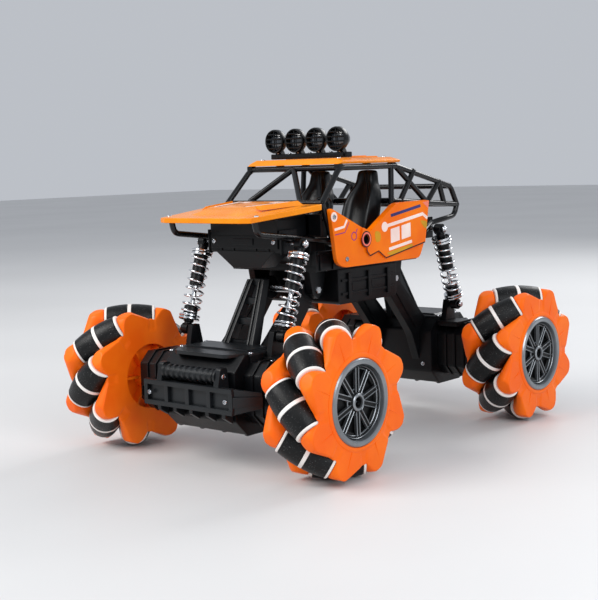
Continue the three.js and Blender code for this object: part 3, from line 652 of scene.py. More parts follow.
def shock_meshes():
    """The pieces of one shock on a line that runs from its upper eye down local -Z."""
    body = Shape()
    body.lathe([(0, -2), (2.9, -2), (2.9, -6), (6.1, -6.2), (6.3, -6.6), (6.3, -8.6), (6.0, -9),
                (4.1, -9.1), (4.1, -27.4), (3.8, -28), (1.8, -28), (1.8, -12), (0, -12)], axis="z", sides=36)
    body.lathe([(1.9, -2.6), (3.4, -2.6), (3.6, -2.3), (3.6, 2.3), (3.4, 2.6), (1.9, 2.6)], axis="x",
               sides=32, ring=True)
    for z in (-21.6, -24.2):
        body.lathe([(4.0, z - 0.6), (4.4, z - 0.4), (4.4, z + 0.4), (4.0, z + 0.6)], axis="z", sides=36,
                   ring=True)
    top = Shape()
    for z in (-6.2, -8.3):
        top.lathe([(5.2, z - 0.9), (6.3, z - 0.9), (6.6, z - 0.5), (6.6, z + 0.3), (6.3, z + 0.7),
                   (5.2, z + 0.7)], axis="z", sides=40, ring=True)
    top.lathe(ball(1.5, 10, 4.4), sides=24)
    rod = Shape()
    rod.cylinder(1.4, -22, -46.5, axis="z", sides=24)
    for z in (-46.9, -48.8):
        rod.lathe([(1.0, z - 0.8), (6.1, z - 0.8), (6.4, z - 0.4), (6.4, z + 0.3), (6.1, z + 0.6),
                   (1.0, z + 0.6)], axis="z", sides=40, ring=True)
    eye = Shape()
    eye.lathe([(0, -49.4), (3.1, -49.4), (3.1, -50.6), (2.4, -51.2), (2.4, -53), (0, -53)], axis="z",
              sides=28)
    eye.lathe([(1.6, -49.4), (4.3, -49.4), (4.3, -41.4), (3.7, -40.8), (1.6, -40.8)], axis="z", sides=32,
              ring=True)
    eye.lathe([(2.3, -2.6), (3.3, -2.6), (3.5, -2.3), (3.5, 2.3), (3.3, 2.6), (2.3, 2.6)],
              (0, 0, -SHOCK_LENGTH), "x", 32, ring=True)
    return body.mesh("shock_body"), top.mesh("shock_rings"), rod.mesh("shock_rod"), eye.mesh("shock_eye")


def spring_mesh():
    """A coil with closed ends around local -Z."""
    coils, mean, wire, steps = 7.5, 5.4, 0.72, 30
    top, bottom = SPRING_TOP + wire, SPRING_BOTTOM - wire
    line = []
    for i in range(int(coils * steps) + 1):
        share = i / (coils * steps)
        eased = share - 0.022 * math.sin(2 * math.pi * share)
        turn = share * coils * 2 * math.pi
        line.append((mean * math.cos(turn), mean * math.sin(turn), -(top + (bottom - top) * eased)))
    return Shape().tube(line, wire, 12, bend=0).mesh("spring", 50)


SHOCK_MESHES, SPRING_MESH = shock_meshes(), spring_mesh()

for name, side, end in CORNERS:
    top = Vector((side * SHOCK_X, end * SHOCK_TOP[0], SHOCK_TOP[1])) * MM
    bottom = Vector((side * SHOCK_X, end * SHOCK_BOTTOM[0], SHOCK_BOTTOM[1])) * MM
    up = (top - bottom).normalized()
    across = Vector((side, 0, 0))
    place = Matrix((across, up.cross(across), up)).transposed().to_4x4()
    place.translation = top
    body_mesh, ring_mesh, rod_mesh, eye_mesh = SHOCK_MESHES
    upper, lower = f"shock_{name}_upper", f"shock_{name}_lower"
    piece(f"shock_{name}_body", body_mesh, BLACK, upper, [f"shock_{name}_cylinder"], place)
    piece(f"shock_{name}_rings", ring_mesh, CHROME, upper, matrix=place)
    piece(f"shock_{name}_piston", rod_mesh, CHROME, lower, [f"shock_{name}_rod"], place)
    piece(f"shock_{name}_lower_eye", eye_mesh, BLACK, lower, matrix=place)
    coil = piece(f"shock_{name}_coil", SPRING_MESH, CHROME, upper, [f"shock_{name}_spring"],
                 place, weighted=False)
    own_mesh(coil)

# ---- Axles ---------------------------------------------------------------------------------------
AXLE_Y, SWING_Y, SWING_Z = 97, 40, 96


def housing_outline(half_depth, bottom, top, chamfer):
    """The gear housing's section as (y, z) points with chamfered corners."""
    front, back = AXLE_Y + half_depth, AXLE_Y - half_depth
    return [(back, bottom + chamfer), (back + chamfer, bottom), (front - chamfer, bottom),
            (front, bottom + chamfer), (front, top - chamfer), (front - chamfer, top),
            (back + chamfer, top), (back, top - chamfer)]


def both(low, high):
    """A span on the car's left and its mirror image on the right, as (low x, high x)."""
    return ((low, high), (-high, -low))


def axle_meshes():
    """The rear axle: its housing, its dark grey cover plates and its screws."""
    case = Shape()
    case.plate(housing_outline(16, 26, 62, 7), -57, 57, bevel=1.2)
    case.plate(housing_outline(23, 20, 66, 9), -29, 29, bevel=1.4)
    for x in (-27, -9, 9, 27):
        case.plate(housing_outline(22.4, 19.2, 65.6, 9.6), x - 1, x + 1, bevel=0.3)
    for x in (36, 43, 50):
        for low, high in both(x - 0.9, x + 0.9):
            case.plate(housing_outline(16.9, 25.2, 62.9, 7.4), low, high, bevel=0.3)
    for side in SIDES:
        case.lathe([(0, side * 48), (8.2, side * 48), (8.2, side * 57.5), (9.4, side * 57.8),
                    (9.4, side * 59.6), (8.1, side * 60), (7.6, side * 65.6), (7.2, side * 66),
                    (3.8, side * 66), (3.8, side * 79.2), (3.4, side * 79.7), (0, side * 79.7)], (0, AXLE_Y, WHEEL_RADIUS))
    for low, high in both(13, 19):
        outline = rounded(flat((
            (AXLE_Y - 4, 58), (AXLE_Y - 16, 66), (SWING_Y + 5, SWING_Z + 5), (SWING_Y - 2, SWING_Z + 6.5),
            (SWING_Y - 6, SWING_Z + 1), (SWING_Y - 3, SWING_Z - 6), (AXLE_Y - 31, 56), (AXLE_Y - 22, 34),
            (AXLE_Y - 8, 30))), 4, 3, True)
        case.plate(outline, low, high, bevel=0.6)
        case.lathe([(3, low - 0.4), (7.0, low - 0.4), (7.4, low), (7.4, high), (7.0, high + 0.4),
                    (3, high + 0.4)], (0, SWING_Y, SWING_Z), "x", 40, ring=True)
        rim = [(AXLE_Y - 19, 64), (SWING_Y + 9, SWING_Z - 1), (SWING_Y + 6, SWING_Z - 8), (AXLE_Y - 27, 59)]
        case.plate(rim, low - 0.5, high + 0.5, bevel=0.4)
    for side in SIDES:
        ear = [(SHOCK_BOTTOM[0] - 7, 60), (SHOCK_BOTTOM[0] + 7, 60),
               (SHOCK_BOTTOM[0] + 3, SHOCK_BOTTOM[1] + 3), (SHOCK_BOTTOM[0] - 3, SHOCK_BOTTOM[1] + 3)]
        case.plate(ear, *span(side, SHOCK_X - 8, SHOCK_X - 4), bevel=0.7)
        case.box(*span(side, 30, 46), SHOCK_BOTTOM[0] - 9, SHOCK_BOTTOM[0] + 9, 60, 63.4, 0.8)
    link = Shape()
    foot, head = Vector((0, 84, 62)), Vector((0, 65, 104))
    ribs = (((8.3, 12.6), (-3, 4), (2.9, 6.3), (-2.5, 2.5), 0.5),
            # the rib, then a raised edge on each side of it
            ((11.3, 13.0), (3.4, 5), (5.4, 6.8), (2.2, 3.6), 0.3),
            ((7.9, 9.2), (3.4, 5), (2.4, 3.6), (2.2, 3.6), 0.3))
    for side in SIDES:
        for foot_x, foot_y, head_x, head_y, bevel in ribs:
            link.hull([(side * x, foot.y + y, foot.z) for x in foot_x for y in foot_y]
                      + [(side * x, head.y + y, head.z) for x in head_x for y in head_y], bevel)
    for share in (0.12, 0.42, 0.7, 0.96):
        at = foot.lerp(head, share)
        reach = 9.8 - 5 * share
        link.box(-reach, reach, at.y - 2, at.y + 1.6, at.z - 2, at.z + 2, 0.5)
    plate = Shape()
    plate.box(-30, 30, AXLE_Y - 15, AXLE_Y + 10, 60, 66.4, 1.0)
    plate.box(-30.6, 30.6, AXLE_Y - 15.6, AXLE_Y + 10.6, 64.6, 66.0, 0.4)
    plate.hull([(x, y, z) for x, z in paired(((24, 67.5), (27, 66))) for y in (AXLE_Y - 12, AXLE_Y + 7)],
               0.4)
    tongue = flat(((-20, AXLE_Y + 22), (20, AXLE_Y + 22), (27, AXLE_Y + 10), (-27, AXLE_Y + 10)))
    plate.plate(rounded(tongue, 3, 3, True), 64.4, 66.6, "z", 0.5)
    metal = Shape()
    for side in SIDES:
        for y in (AXLE_Y - 13, AXLE_Y + 8):
            metal.screw((side * 28, y, 66.3), (0, 0, 1), 1.6)
        metal.screw((side * 41, AXLE_Y + 4, 62.3), (0, 0, 1), 1.7)
        metal.lathe([(0, side * 33), (1.2, side * 33), (1.2, side * 42.4), (2.0, side * 42.5),
                     (2.0, side * 43.6), (1.6, side * 44.0), (0, side * 44.0)], (0, *SHOCK_BOTTOM), sides=20)
        metal.screw((side * 22, AXLE_Y + 23, 46), (0, 1, 0), 1.5)
        metal.screw((side * 22, AXLE_Y - 23, 34), (0, -1, 0), 1.5)
        metal.screw((side * 22, AXLE_Y - 8, 20), (0, 0, -1), 1.6)
        metal.screw((side * 22, AXLE_Y + 8, 20), (0, 0, -1), 1.6)
    return (case.mesh("axle_case"), link.mesh("axle_link"), plate.mesh("axle_plate"),
            metal.mesh("axle_screws"))


AXLE_MESHES = axle_meshes()
for end_name, place in (("rear", Matrix.Identity(4)), ("front", HALF_TURN)):
    body = f"axle_{end_name}"
    case_mesh, link_mesh, plate_mesh, metal_mesh = AXLE_MESHES
    piece(f"{body}_case", case_mesh, BLACK, body, [f"{body}_housing"], place)
    # The link is lighter than the black axle as painted sheen: it stands in for the highlights along its
    # glossy rails.
    piece(f"{body}_link", link_mesh, DARK_GREY_AND_LINK_SHEEN, body, matrix=place)
    piece(f"{body}_top_plate", plate_mesh, DARK_GREY_AND_LINK_SHEEN, body, matrix=place)
    piece(f"{body}_screws", metal_mesh, STEEL, body, matrix=place)

# ---- Front bumper and winch ----------------------------------------------------------------------


def build_bumper():
    """The slotted bumper with its brackets and skid ribs, and the ribbed drum above it."""
    bar = Shape()
    front, back, low, high, half = -130, -126.4, 35, 50, 35.5
    for z in (low, high - 3):
        bar.box(-half, half, front, back, z, z + 3, 0.7)
    for i in range(5):
        x = -half + 1.3 + i * (2 * half - 2.6) / 4
        bar.box(x - 1.5, x + 1.5, front + 0.3, back, low + 1, high - 1, 0.5)
    bar.box(-half + 1, half - 1, back - 1.2, back, low + 1, high - 1, 0.3)
    for side in SIDES:
        bar.hull([(side * (half - 1.5), y, z) for y in (front, back) for z in (low, high)]
                 + [(side * x, -116, z) for x in (43, 46) for z in (low + 3, high - 3)], 0.8)
        bar.hull([(side * (half + 1), y, z) for y in (front - 0.3, front + 1)
                  for z in (low + 4.5, high - 4.5)]
                 + [(side * x, -116.5, z) for x in (45.5, 46.6) for z in (low + 5, high - 5)], 0.4)
        bar.box(*span(side, 12, 17), back - 1, -120.3, 39, 50, 0.5)
        cheek = flat(((-129.4, 50), (-127, 60.4), (-121.5, 60.4), (-120.3, 47), (-129, 47)))
        bar.plate(rounded(cheek, 1.6, 3, True), *span(side, 21, 25), bevel=0.6)
    for i in range(5):
        x = (i - 2) * 13
        bar.beam(x - 1.4, x + 1.4, ((-127, 35.6), (-127, 32), (-120.6, 28), (-120.6, 33)))
    drum = Shape()
    profile = [(0, -21.5), (4.4, -21.5), (4.4, -20)]
    for i in range(9):
        x = -17.6 + i * 4.4
        profile += [(3.4, x - 1.3), (4.3, x - 0.7), (4.3, x + 0.7), (3.4, x + 1.3)]
    profile += [(4.4, 20), (4.4, 21.5), (0, 21.5)]
    drum.lathe(profile, (0, -124.6, 55))
    metal = Shape()
    for side in SIDES:
        metal.screw((side * 25, -124.8, 55.4), (side, 0, 0), 1.7)
        metal.screw((side * 30.5, -130, 42.5), (0, -1, 0), 1.5)
    piece("bumper_frame", bar.mesh("bumper_frame"), DARK_GREY_AND_LINK_SHEEN, "axle_front",
          ["front_bumper"])
    piece("winch_drum", drum.mesh("winch_drum"), DARK_GREY_AND_LINK_SHEEN, "axle_front")
    piece("bumper_screws", metal.mesh("bumper_screws"), STEEL, "axle_front")


build_bumper()

# ---- Chassis and battery box ---------------------------------------------------------------------


def chassis_half(shape, metal):
    """The rear shock tower and hinge lugs; the front ones are the same, turned half round."""
    shape.box(-30.2, 30.2, 64, 77, 121, 134, 1.1)
    shape.box(-27, 27, 76.2, 78, 123.4, 131.6, 0.5)
    shape.box(-8, 8, 77.6, 78.6, 125.6, 129.4, 0.4)
    for x in (-29, -19, -9, 9, 19, 29):
        shape.box(x - 0.7, x + 0.7, 63.3, 77.6, 120.4, 134.4, 0.25)
    shape.hull([(x, y, 122) for x in (-24, 24) for y in (62, 78)]
               + [(x, y, 111.5) for x in (-11, 11) for y in (62, 76)], 0.8)
    shape.hull([(x, 47, z) for x in (-18, 18) for z in (110, 132)]
               + [(x, 68, z) for x in (-20, 20) for z in (121, 133)], 1.0)
    for side in SIDES:
        lug = [(SWING_Y - 8, 109), (SWING_Y - 5, SWING_Z - 2), (SWING_Y, SWING_Z - 5.4),
               (SWING_Y + 5, SWING_Z - 2), (SWING_Y + 8, 109)]
        shape.plate(lug, *span(side, 20, 25), bevel=0.6)
        metal.lathe([(0, side * 23), (2.4, side * 23), (2.4, side * 25.6), (2.0, side * 26.1),
                     (0, side * 26.1)], (0, SWING_Y, SWING_Z), sides=6)
        metal.lathe([(0, side * 28), (1.4, side * 28), (1.4, side * 42.2), (2.2, side * 42.3),
                     (2.2, side * 43.4), (1.6, side * 44.0), (0, side * 44.0)], (0, *SHOCK_TOP), sides=24)
        metal.screw((side * 24, 78, 127.5), (0, 1, 0), 1.5)
    metal.cylinder(2.5, -20.2, 20.2, (0, SWING_Y, SWING_Z), sides=24)


def build_chassis():
    """The tub with a shock tower at each end, the block under the hood and the firewall behind it."""
    shape, metal = Shape(), Shape()
    for turn in (Matrix.Identity(4), HALF_TURN):
        shape.place = metal.place = turn
        chassis_half(shape, metal)
    shape.place = metal.place = Matrix.Identity(4)
    shape.box(-34, 34, -52, 52, 108, 112, 0.8)
    for side in SIDES:
        shape.box(*span(side, 30, 34), -52, 52, 111, 120, 0.8)
        for y in range(-48, 53, 12):
            shape.box(*span(side, 33.6, 34.8), y - 0.8, y + 0.8, 108.6, 119, 0.3)
        shape.box(*span(side, 33.6, 35.2), -51, 51, 118.4, 120.2, 0.4)
    shape.box(-30, 30, -52, -46, 111, 142, 0.8)
    shape.box(-27, 27, -78, -50, 130, 141.6, 0.9)
    shape.box(-38.5, 38.5, -52, -50.6, 130, 142.5, 0.4)
    shape.beam(-27, 27, ((-78, 140), (-78, 142.9), (-52, 145), (-52, 140)), 0.3)
    for y in (-36, -12, 12, 36):
        for x in (-28, 28):
            metal.screw((x, y, 108), (0, 0, -1), 1.6)
    chassis_piece("chassis_tub", shape, BLACK, ["chassis_frame"])
    chassis_piece("chassis_screws", metal, STEEL)


def build_battery():
    """The ribbed battery box under the tub, its screws and the power switch in its base."""
    box = Shape()
    outline = [(-30, 88), (-28, 86), (28, 86), (30, 88), (30, 107.7), (-30, 107.7)]
    box.plate(outline, -33, 33, bevel=1.0)
    for y in (-20, 0, 20):
        box.box(-34.5, 34.5, y - 1.5, y + 1.5, 89, 105, 0.5)
    for z in (92.4, 100.6):
        box.box(-33.8, 33.8, -27, 27, z - 0.8, z + 0.8, 0.35)
    for side in SIDES:
        for y in (-10, 10):
            box.box(*span(side, 32.6, 33.6), y - 7, y + 7, 94.4, 99, 0.4)
    box.box(-22, 22, -17, 17, 85.4, 86.6, 0.4)
    box.box(-19, -8, 21, 26, 85.2, 86.4, 0.5)
    metal = Shape()
    for at in ((-28, -24, 86.1), (28, -24, 86.1), (-28, 24, 86.1), (28, 24, 86.1), (0, -14, 85.5)):
        metal.screw(at, (0, 0, -1), 1.6)
    switch = Shape().box(-16.4, -12, 22.4, 24.6, 84.4, 85.6, 0.3)
    chassis_piece("battery_case", box, BLACK, ["battery_box"])
    chassis_piece("battery_screws", metal, STEEL)
    chassis_piece("power_switch", switch, DARK_GREY_AND_LINK_SHEEN)


build_chassis()
build_battery()

# ---- Body panels ---------------------------------------------------------------------------------
SKIN_HALF_WIDTH = 36.4
SKIN_FRONT = (-110, 143.2)  # y, z
CROWN_FRONT, CROWN_REAR = (-92, 148.4), (-54.6, 150.4)  # y, z


def build_hood():
    """The hood: skin, raised crown with two fins, side slots, screws and printed stripes."""
    hood = Shape()
    hood.hull([(x, y, z) for x, y in paired(((SKIN_HALF_WIDTH, SKIN_FRONT[0]), (30, -113)))
               for z in (140.2, 143.2)]
              + [(x, -54, z) for x in (-41.5, 41.5) for z in (145.2, 148.6)]
              + [(x, -57, z) for x in (-41.9, 41.9) for z in (144.8, 148.2)], 0.9, 3)
    hood.hull(paired(((24, -104, 142.5), (33, CROWN_REAR[0], 146.5), (14, *CROWN_FRONT),
                      (24, *CROWN_REAR))), 1.1, 3)
    for side in SIDES:
        hood.hull([(side * x, y, z) for x, y, z in ((20, -88, 147.6), (24, -88, 146.4), (26, -58, 149.6),
                                                    (31, -58, 148.2), (20.5, -88, 148.9),
                                                    (26.5, -58, 151.0))], 0.4)
    dark, metal = Shape(), Shape()
    slope = math.atan2(148.6 - SKIN_FRONT[1], 56)
    for side in SIDES:
        for i in range(4):
            y = -64 + i * 3.2
            z = SKIN_FRONT[1] + (y - SKIN_FRONT[0]) * math.tan(slope)
            dark.box(*span(side, 34.5, 38.5), y - 0.6, y + 0.6, z - 0.2, z + 0.12, 0)
        metal.screw((side * 35, -104, 143.7), (0, -math.sin(slope), math.cos(slope)), 1.5)
    white = Shape()
    crown_slope = (CROWN_REAR[1] - CROWN_FRONT[1]) / (CROWN_REAR[0] - CROWN_FRONT[0])

    def crown_print(shape, side, points):
        """A printed patch that follows the slope of the crown."""
        shape.hull([(side * x, y, CROWN_FRONT[1] + (y - CROWN_FRONT[0]) * crown_slope + lift)
                    for x, y in points for lift in (-0.3, 0.1)], 0)

    for side in SIDES:
        crown_print(white, side, ((21.4, -58), (18.2, -58), (11.6, -88), (13.4, -88)))
        crown_print(white, side, ((15.6, -58), (10.2, -58), (9.2, -64), (14.4, -64)))
        crown_print(dark, side, ((17.4, -58), (16.8, -58), (10.3, -88), (10.9, -88)))
        crown_print(dark, side, ((9.2, -66.2), (14.0, -66.2), (13.9, -67), (9.1, -67)))
    chassis_piece("hood_print", white, DECALS["white"], weighted=False)
    # The hood takes the lighter orange copy: painted light on its up-facing skin.
    chassis_piece("hood_panel", hood, TOP_LIT_ORANGE_PAINT, ["hood"])
    chassis_piece("hood_slots", dark, DECALS["dark"])
    chassis_piece("hood_screws", metal, STEEL)


PANEL_FACE, DOOR_FACE = 43.4, 44.5
SOCKET = (0, -15.9, 125.6)  # the round hole at the doorway's foot, on the car's middle plane
PRINT_THICKNESS, PRINT_SINK = 0.09, 0.02


def strip(points, width):
    """Outline of a band of one width along a line in the panel's plane."""
    line = [Vector((p[0], p[1])) for p in points]
    left, right = [], []
    for i, point in enumerate(line):
        ahead = line[min(i + 1, len(line) - 1)] - line[max(i - 1, 0)]
        normal = Vector((-ahead.y, ahead.x)).normalized() * width / 2
        left.append(point + normal)
        right.append(point - normal)
    return left + right[::-1]


def circle(y, z, radius):
    """A round outline in the panel's plane."""
    return [(y + radius * math.cos(turn), z + radius * math.sin(turn)) for turn in turns(32)]


def annulus(shape, middle, inner, outer, low, high):
    """A flat ring that stands on the panel's plane."""
    shape.lathe([(inner, low), (outer, low), (outer, high), (inner, high)], middle, "x", 40, ring=True)


def build_side_panels():
    """Both side panels: plate, raised door, ring, screws and printed bands."""
    base = Shape()
    outline = flat(((-49, 146.5), (-43.5, 113), (-36.8, 109.8), (41.9, 109.8), (47.2, 119), (52.5, 146.8),
                    (15.2, 146.3), (-12.1, 130.2)))
    base.plate(rounded(outline, 3.2, 5, True), 40.6, PANEL_FACE, bevel=0.55)
    door = flat(((-15.6, 119.8), (-12.5, 115.2), (-3.5, 117.3), (4, 112.2), (47, 119.2), (52.2, 146.5),
                 (15.3, 146), (-11.9, 130.2), (-18.6, 133.0), (-21.1, 126.5)))
    base.plate(rounded(door, 1.0, 3, True), PANEL_FACE - 1, DOOR_FACE, bevel=0.4)
    hole = Shape().cylinder(2.6, 30, 50, SOCKET, sides=32)
    panel = carved(base.mesh("side_panel"), [hole.mesh("hole")])
    rim = Shape()
    annulus(rim, SOCKET, 3.2, 4.3, DOOR_FACE - 0.2, DOOR_FACE + 0.3)
    tube = Shape().lathe([(0, 38.8), (2.6, 38.8), (2.6, DOOR_FACE), (3.3, DOOR_FACE + 0.05),
                          (3.3, DOOR_FACE + 0.2), (2.7, DOOR_FACE + 0.2), (2.2, 41.5), (0, 41.5)],
                         SOCKET, sides=32)
    prints = {key: Shape() for key in DECALS}

    def patch(key, points, face=DOOR_FACE, lift=0.0):
        """A printed patch on the plate or on the raised door."""
        prints[key].plate(points, face - PRINT_SINK, face + PRINT_THICKNESS + lift, bevel=0)

    def blob(key, points, radius, steps):
        """A printed patch with rounded corners."""
        patch(key, rounded(flat(points), radius, steps, True))

    def band(key, points, width, face=DOOR_FACE):
        """A printed line of one width."""
        patch(key, strip(points, width), face)

    annulus(prints["dark"], SOCKET, 4.3, 5.0, DOOR_FACE - PRINT_SINK, DOOR_FACE + PRINT_THICKNESS)
    band("dark", [(-15.6, 120.8), (-15.2, 118.0), (-12.4, 115.3), (-3.6, 117.5), (3.9, 112.7),
                  (46.4, 119.7)], 0.75)
    annulus(prints["purple"], (0, -26.6, 128.1), 2.1, 2.7, PANEL_FACE - PRINT_SINK,
            PANEL_FACE + PRINT_THICKNESS)
    band("purple", [(-24.7, 130.0), (-23.4, 132.4)], 0.6, PANEL_FACE)
    band("purple", [(-31.2, 136.9), (-35.3, 130.9), (-44.9, 129.9)], 0.55, PANEL_FACE)
    band("white", [(-33.2, 138.3), (-36.0, 134.3), (-45.2, 133.0)], 1.5, PANEL_FACE)
    patch("white", circle(-45.3, 140.6, 2.9), PANEL_FACE)
    band("navy", [(9.8, 138.6), (42.1, 143.4)], 1.9)
    patch("white", circle(3.0, 132.0, 3.1), lift=0.05)
    band("white", [(4.4, 132.3), (44.4, 138.0), (49.6, 135.0)], 2.1)
    tilt = 0.145
    for left, top, right, bottom in ((9.2, 131.6, 18.6, 120.9), (20.8, 133.2, 30.6, 122.5)):
        rise = (right - left) * tilt
        patch("white", [(left, top - 1.4), (right, top - 1.4 + rise),
                        (right, bottom + 1.6 + rise * 0.2), (left, bottom + 1.6 - rise * 0.8)])
    band("white", [(7.2, 117.8), (31.8, 121.2)], 1.9)
    blob("lime", ((-7.6, 130.2), (-1.4, 129.4), (-1.2, 123.6), (-6.4, 122.6)), 3, 5)
    blob("lime", ((4.2, 115.6), (9.0, 113.7), (33.0, 118.0), (32.4, 119.6)), 1.2, 4)
    blob("lime", ((41.0, 134.2), (49.6, 133.0), (48.6, 127.6), (44.6, 130.2)), 2.5, 4)
    patch("pink", [(44.6, 145.4), (51.6, 146.0), (50.6, 141.4), (48.2, 143.0)])
    metal = Shape()
    for y, z in ((-45.3, 140.6), (-34.1, 114.8)):
        metal.screw((PANEL_FACE + 0.05, y, z), (1, 0, 0), 1.55)
    piece("side_panel_l", panel, ORANGE_PAINT, "chassis", ["side_panel_left"])
    right = panel.copy()
    right.transform(Matrix.Diagonal((-1, 1, 1, 1)))
    right.flip_normals()
    piece("side_panel_r", right, ORANGE_PAINT, "chassis", ["side_panel_right"])
    chassis_piece("panel_rings", rim.mirrored(), DECALS["pink"])
    chassis_piece("panel_sockets", tube.mirrored(), BLACK)
    chassis_piece("panel_screws", metal.mirrored(), STEEL)
    for key, shape in prints.items():
        chassis_piece(f"panel_print_{key}", shape.mirrored(), DECALS[key], weighted=False)


def build_roof():
    """The roof panel with its raised middle and ribs, and its screws."""
    roof = Shape()
    roof.hull(paired(((37, -32, 171.6), (38, 29.5, 171.6), (38, -29, 173), (39, 29.5, 173),
                      (33, -28, 175.2), (34, 25, 175.2))), 0.7, 3)
    roof.beam(-27, 27, ((-7, 175), (22, 175), (-5, 176), (20, 176)), 0.4)
    for x in (-18, 0, 18):
        roof.box(x - 1.5, x + 1.5, -4, 19, 175.8, 176.5, 0.3)
    metal = Shape()
    for x in (-31, 31):
        for y in (-24, 22):
            metal.screw((x, y, 175.1), (0, 0, 1), 1.5)
    # The roof takes the lighter orange copy: painted light on its up-facing top.
    chassis_piece("roof_skin", roof, TOP_LIT_ORANGE_PAINT, ["roof_panel"])
    chassis_piece("roof_screws", metal, STEEL)


build_hood()
build_side_panels()
build_roof()

# ---- Roll cage -----------------------------------------------------------------------------------
CAGE_X, TUBE_RADIUS = 37.3, 1.8
CAGE_SIDE_RUNS = [  # tube runs on the car's left side
    [(38.4, -50, 149), (36, -30, 169.4), (36, 27, 169.4), (CAGE_X, 88, 154.5), (CAGE_X, 95.5, 142)],
    [(0, -30, 169.4), (20, -48.5, 150.4)],
    [(CAGE_X, 22.5, 147.5), (CAGE_X, 95.5, 142)],
    [(36, 22.5, 169.4), (CAGE_X, 20, 126)],
    [(36, 27, 169.4), (CAGE_X, 60, 144.8)],
    [(CAGE_X, 45, 165.5), (CAGE_X, 30, 147)],
    [(CAGE_X, 74, 158), (CAGE_X, 60, 144.8)],
    [(CAGE_X, 74, 158), (CAGE_X, 80, 143.2)],
    [(CAGE_X, 95.5, 142), (CAGE_X, 92, 134.5), (CAGE_X, 80, 133), (33.4, 70, 130.8), (CAGE_X, 56, 126)],
    [(33.4, -104, 141), (33.4, -102, 133.5), (33.4, -48, 127), (CAGE_X, -40, 126), (CAGE_X, 56, 126)],
    [(38.4, -50, 149), (CAGE_X, -40, 126)],
]
# tubes straight across the car, as (half width, y, z)
CAGE_CROSS_TUBES = [(36, -30, 169.4), (36, 27, 169.4), (CAGE_X, 88, 154.5), (CAGE_X, 95.5, 142),
                    (CAGE_X, 22.5, 147.5), (38.4, -50, 149)]


def build_cage():
    """The tubes with a ball in each open end, and the saddles that the roof rests on."""
    cage = Shape()
    for run in CAGE_SIDE_RUNS:
        cage.tube(run, TUBE_RADIUS, 16, 4)
        for end in (run[0], run[-1]):
            cage.lathe(ball(TUBE_RADIUS, 8, swell=1.02), end, "x", 16)
    cage = cage.mirrored()
    for reach, y, z in CAGE_CROSS_TUBES:
        cage.tube([(-reach, y, z), (reach, y, z)], TUBE_RADIUS, 16, 0)
    for side in SIDES:
        for y in (-30, -2, 24):
            cage.box(*span(side, 33.5, 37.5), y - 2, y + 2, 168.6, 171.6, 0.4)
    chassis_piece("cage_tubes", cage, TUBE, ["roll_cage"], 45, weighted=False)


build_cage()

# ---- Cockpit -------------------------------------------------------------------------------------
SEAT_X = 19.5


def seat_mesh():
    """A bucket seat about x = 0: a lofted back with bolsters, and a dished cushion."""
    part = bmesh.new()

    def ring(half, front, back, bolster, z):
        """A level section of the back, with a bolster at each side of its front."""
        side = [(half, back - 1.5), (half, front + 1.6), (half - 1.2, front - bolster),
                (half - 3.0, front - bolster), (half - 4.4, front + 1.2)]
        rear = [(half - 1.6, back), (0, back + 0.5), (-half + 1.6, back)]
        return [part.verts.new((x, y, z)) for x, y in symmetric(side, (0, front + 1.8)) + rear]

    heights = [(9.8, 2.2, 12, 1.0, 117), (10.8, 3.8, 14, 3.4, 124), (11.6, 6.6, 17, 4.4, 134),
               (11.8, 9.6, 20, 4.4, 144), (11.0, 12.2, 22.2, 3.2, 151), (8.2, 14.2, 23.4, 1.0, 156.5),
               (6.6, 15.2, 24.2, 0.6, 160), (6.2, 15.8, 24.6, 0.4, 165.4), (5.4, 16.8, 24.2, 0.1, 167.4)]
    loft(part, [ring(*height) for height in heights])
    seat = Shape().take(part)
    cushion = bmesh.new()
    sections = []
    dip = 1.6
    for y, half, top in ((-18.4, 8.6, 121.5), (-17.6, 9.6, 124.4), (-12, 10, 125.6), (-4, 10, 124.8),
                         (4, 10, 124.2), (9.6, 9.6, 124)):
        side = [(half, 117), (half, top - 0.6), (half - 1.4, top + 0.7), (half - 3, top + 0.5),
                (half - 4.6, top - dip)]
        sections.append([cushion.verts.new((x, y, z)) for x, z in symmetric(side, (0, top - dip - 0.4))])
    loft(cushion, sections)
    seat.take(cushion)
    mesh = seat.mesh("seat", 80)
    return applied(mesh, ("SUBSURF", {"levels": 2, "render_levels": 2}))


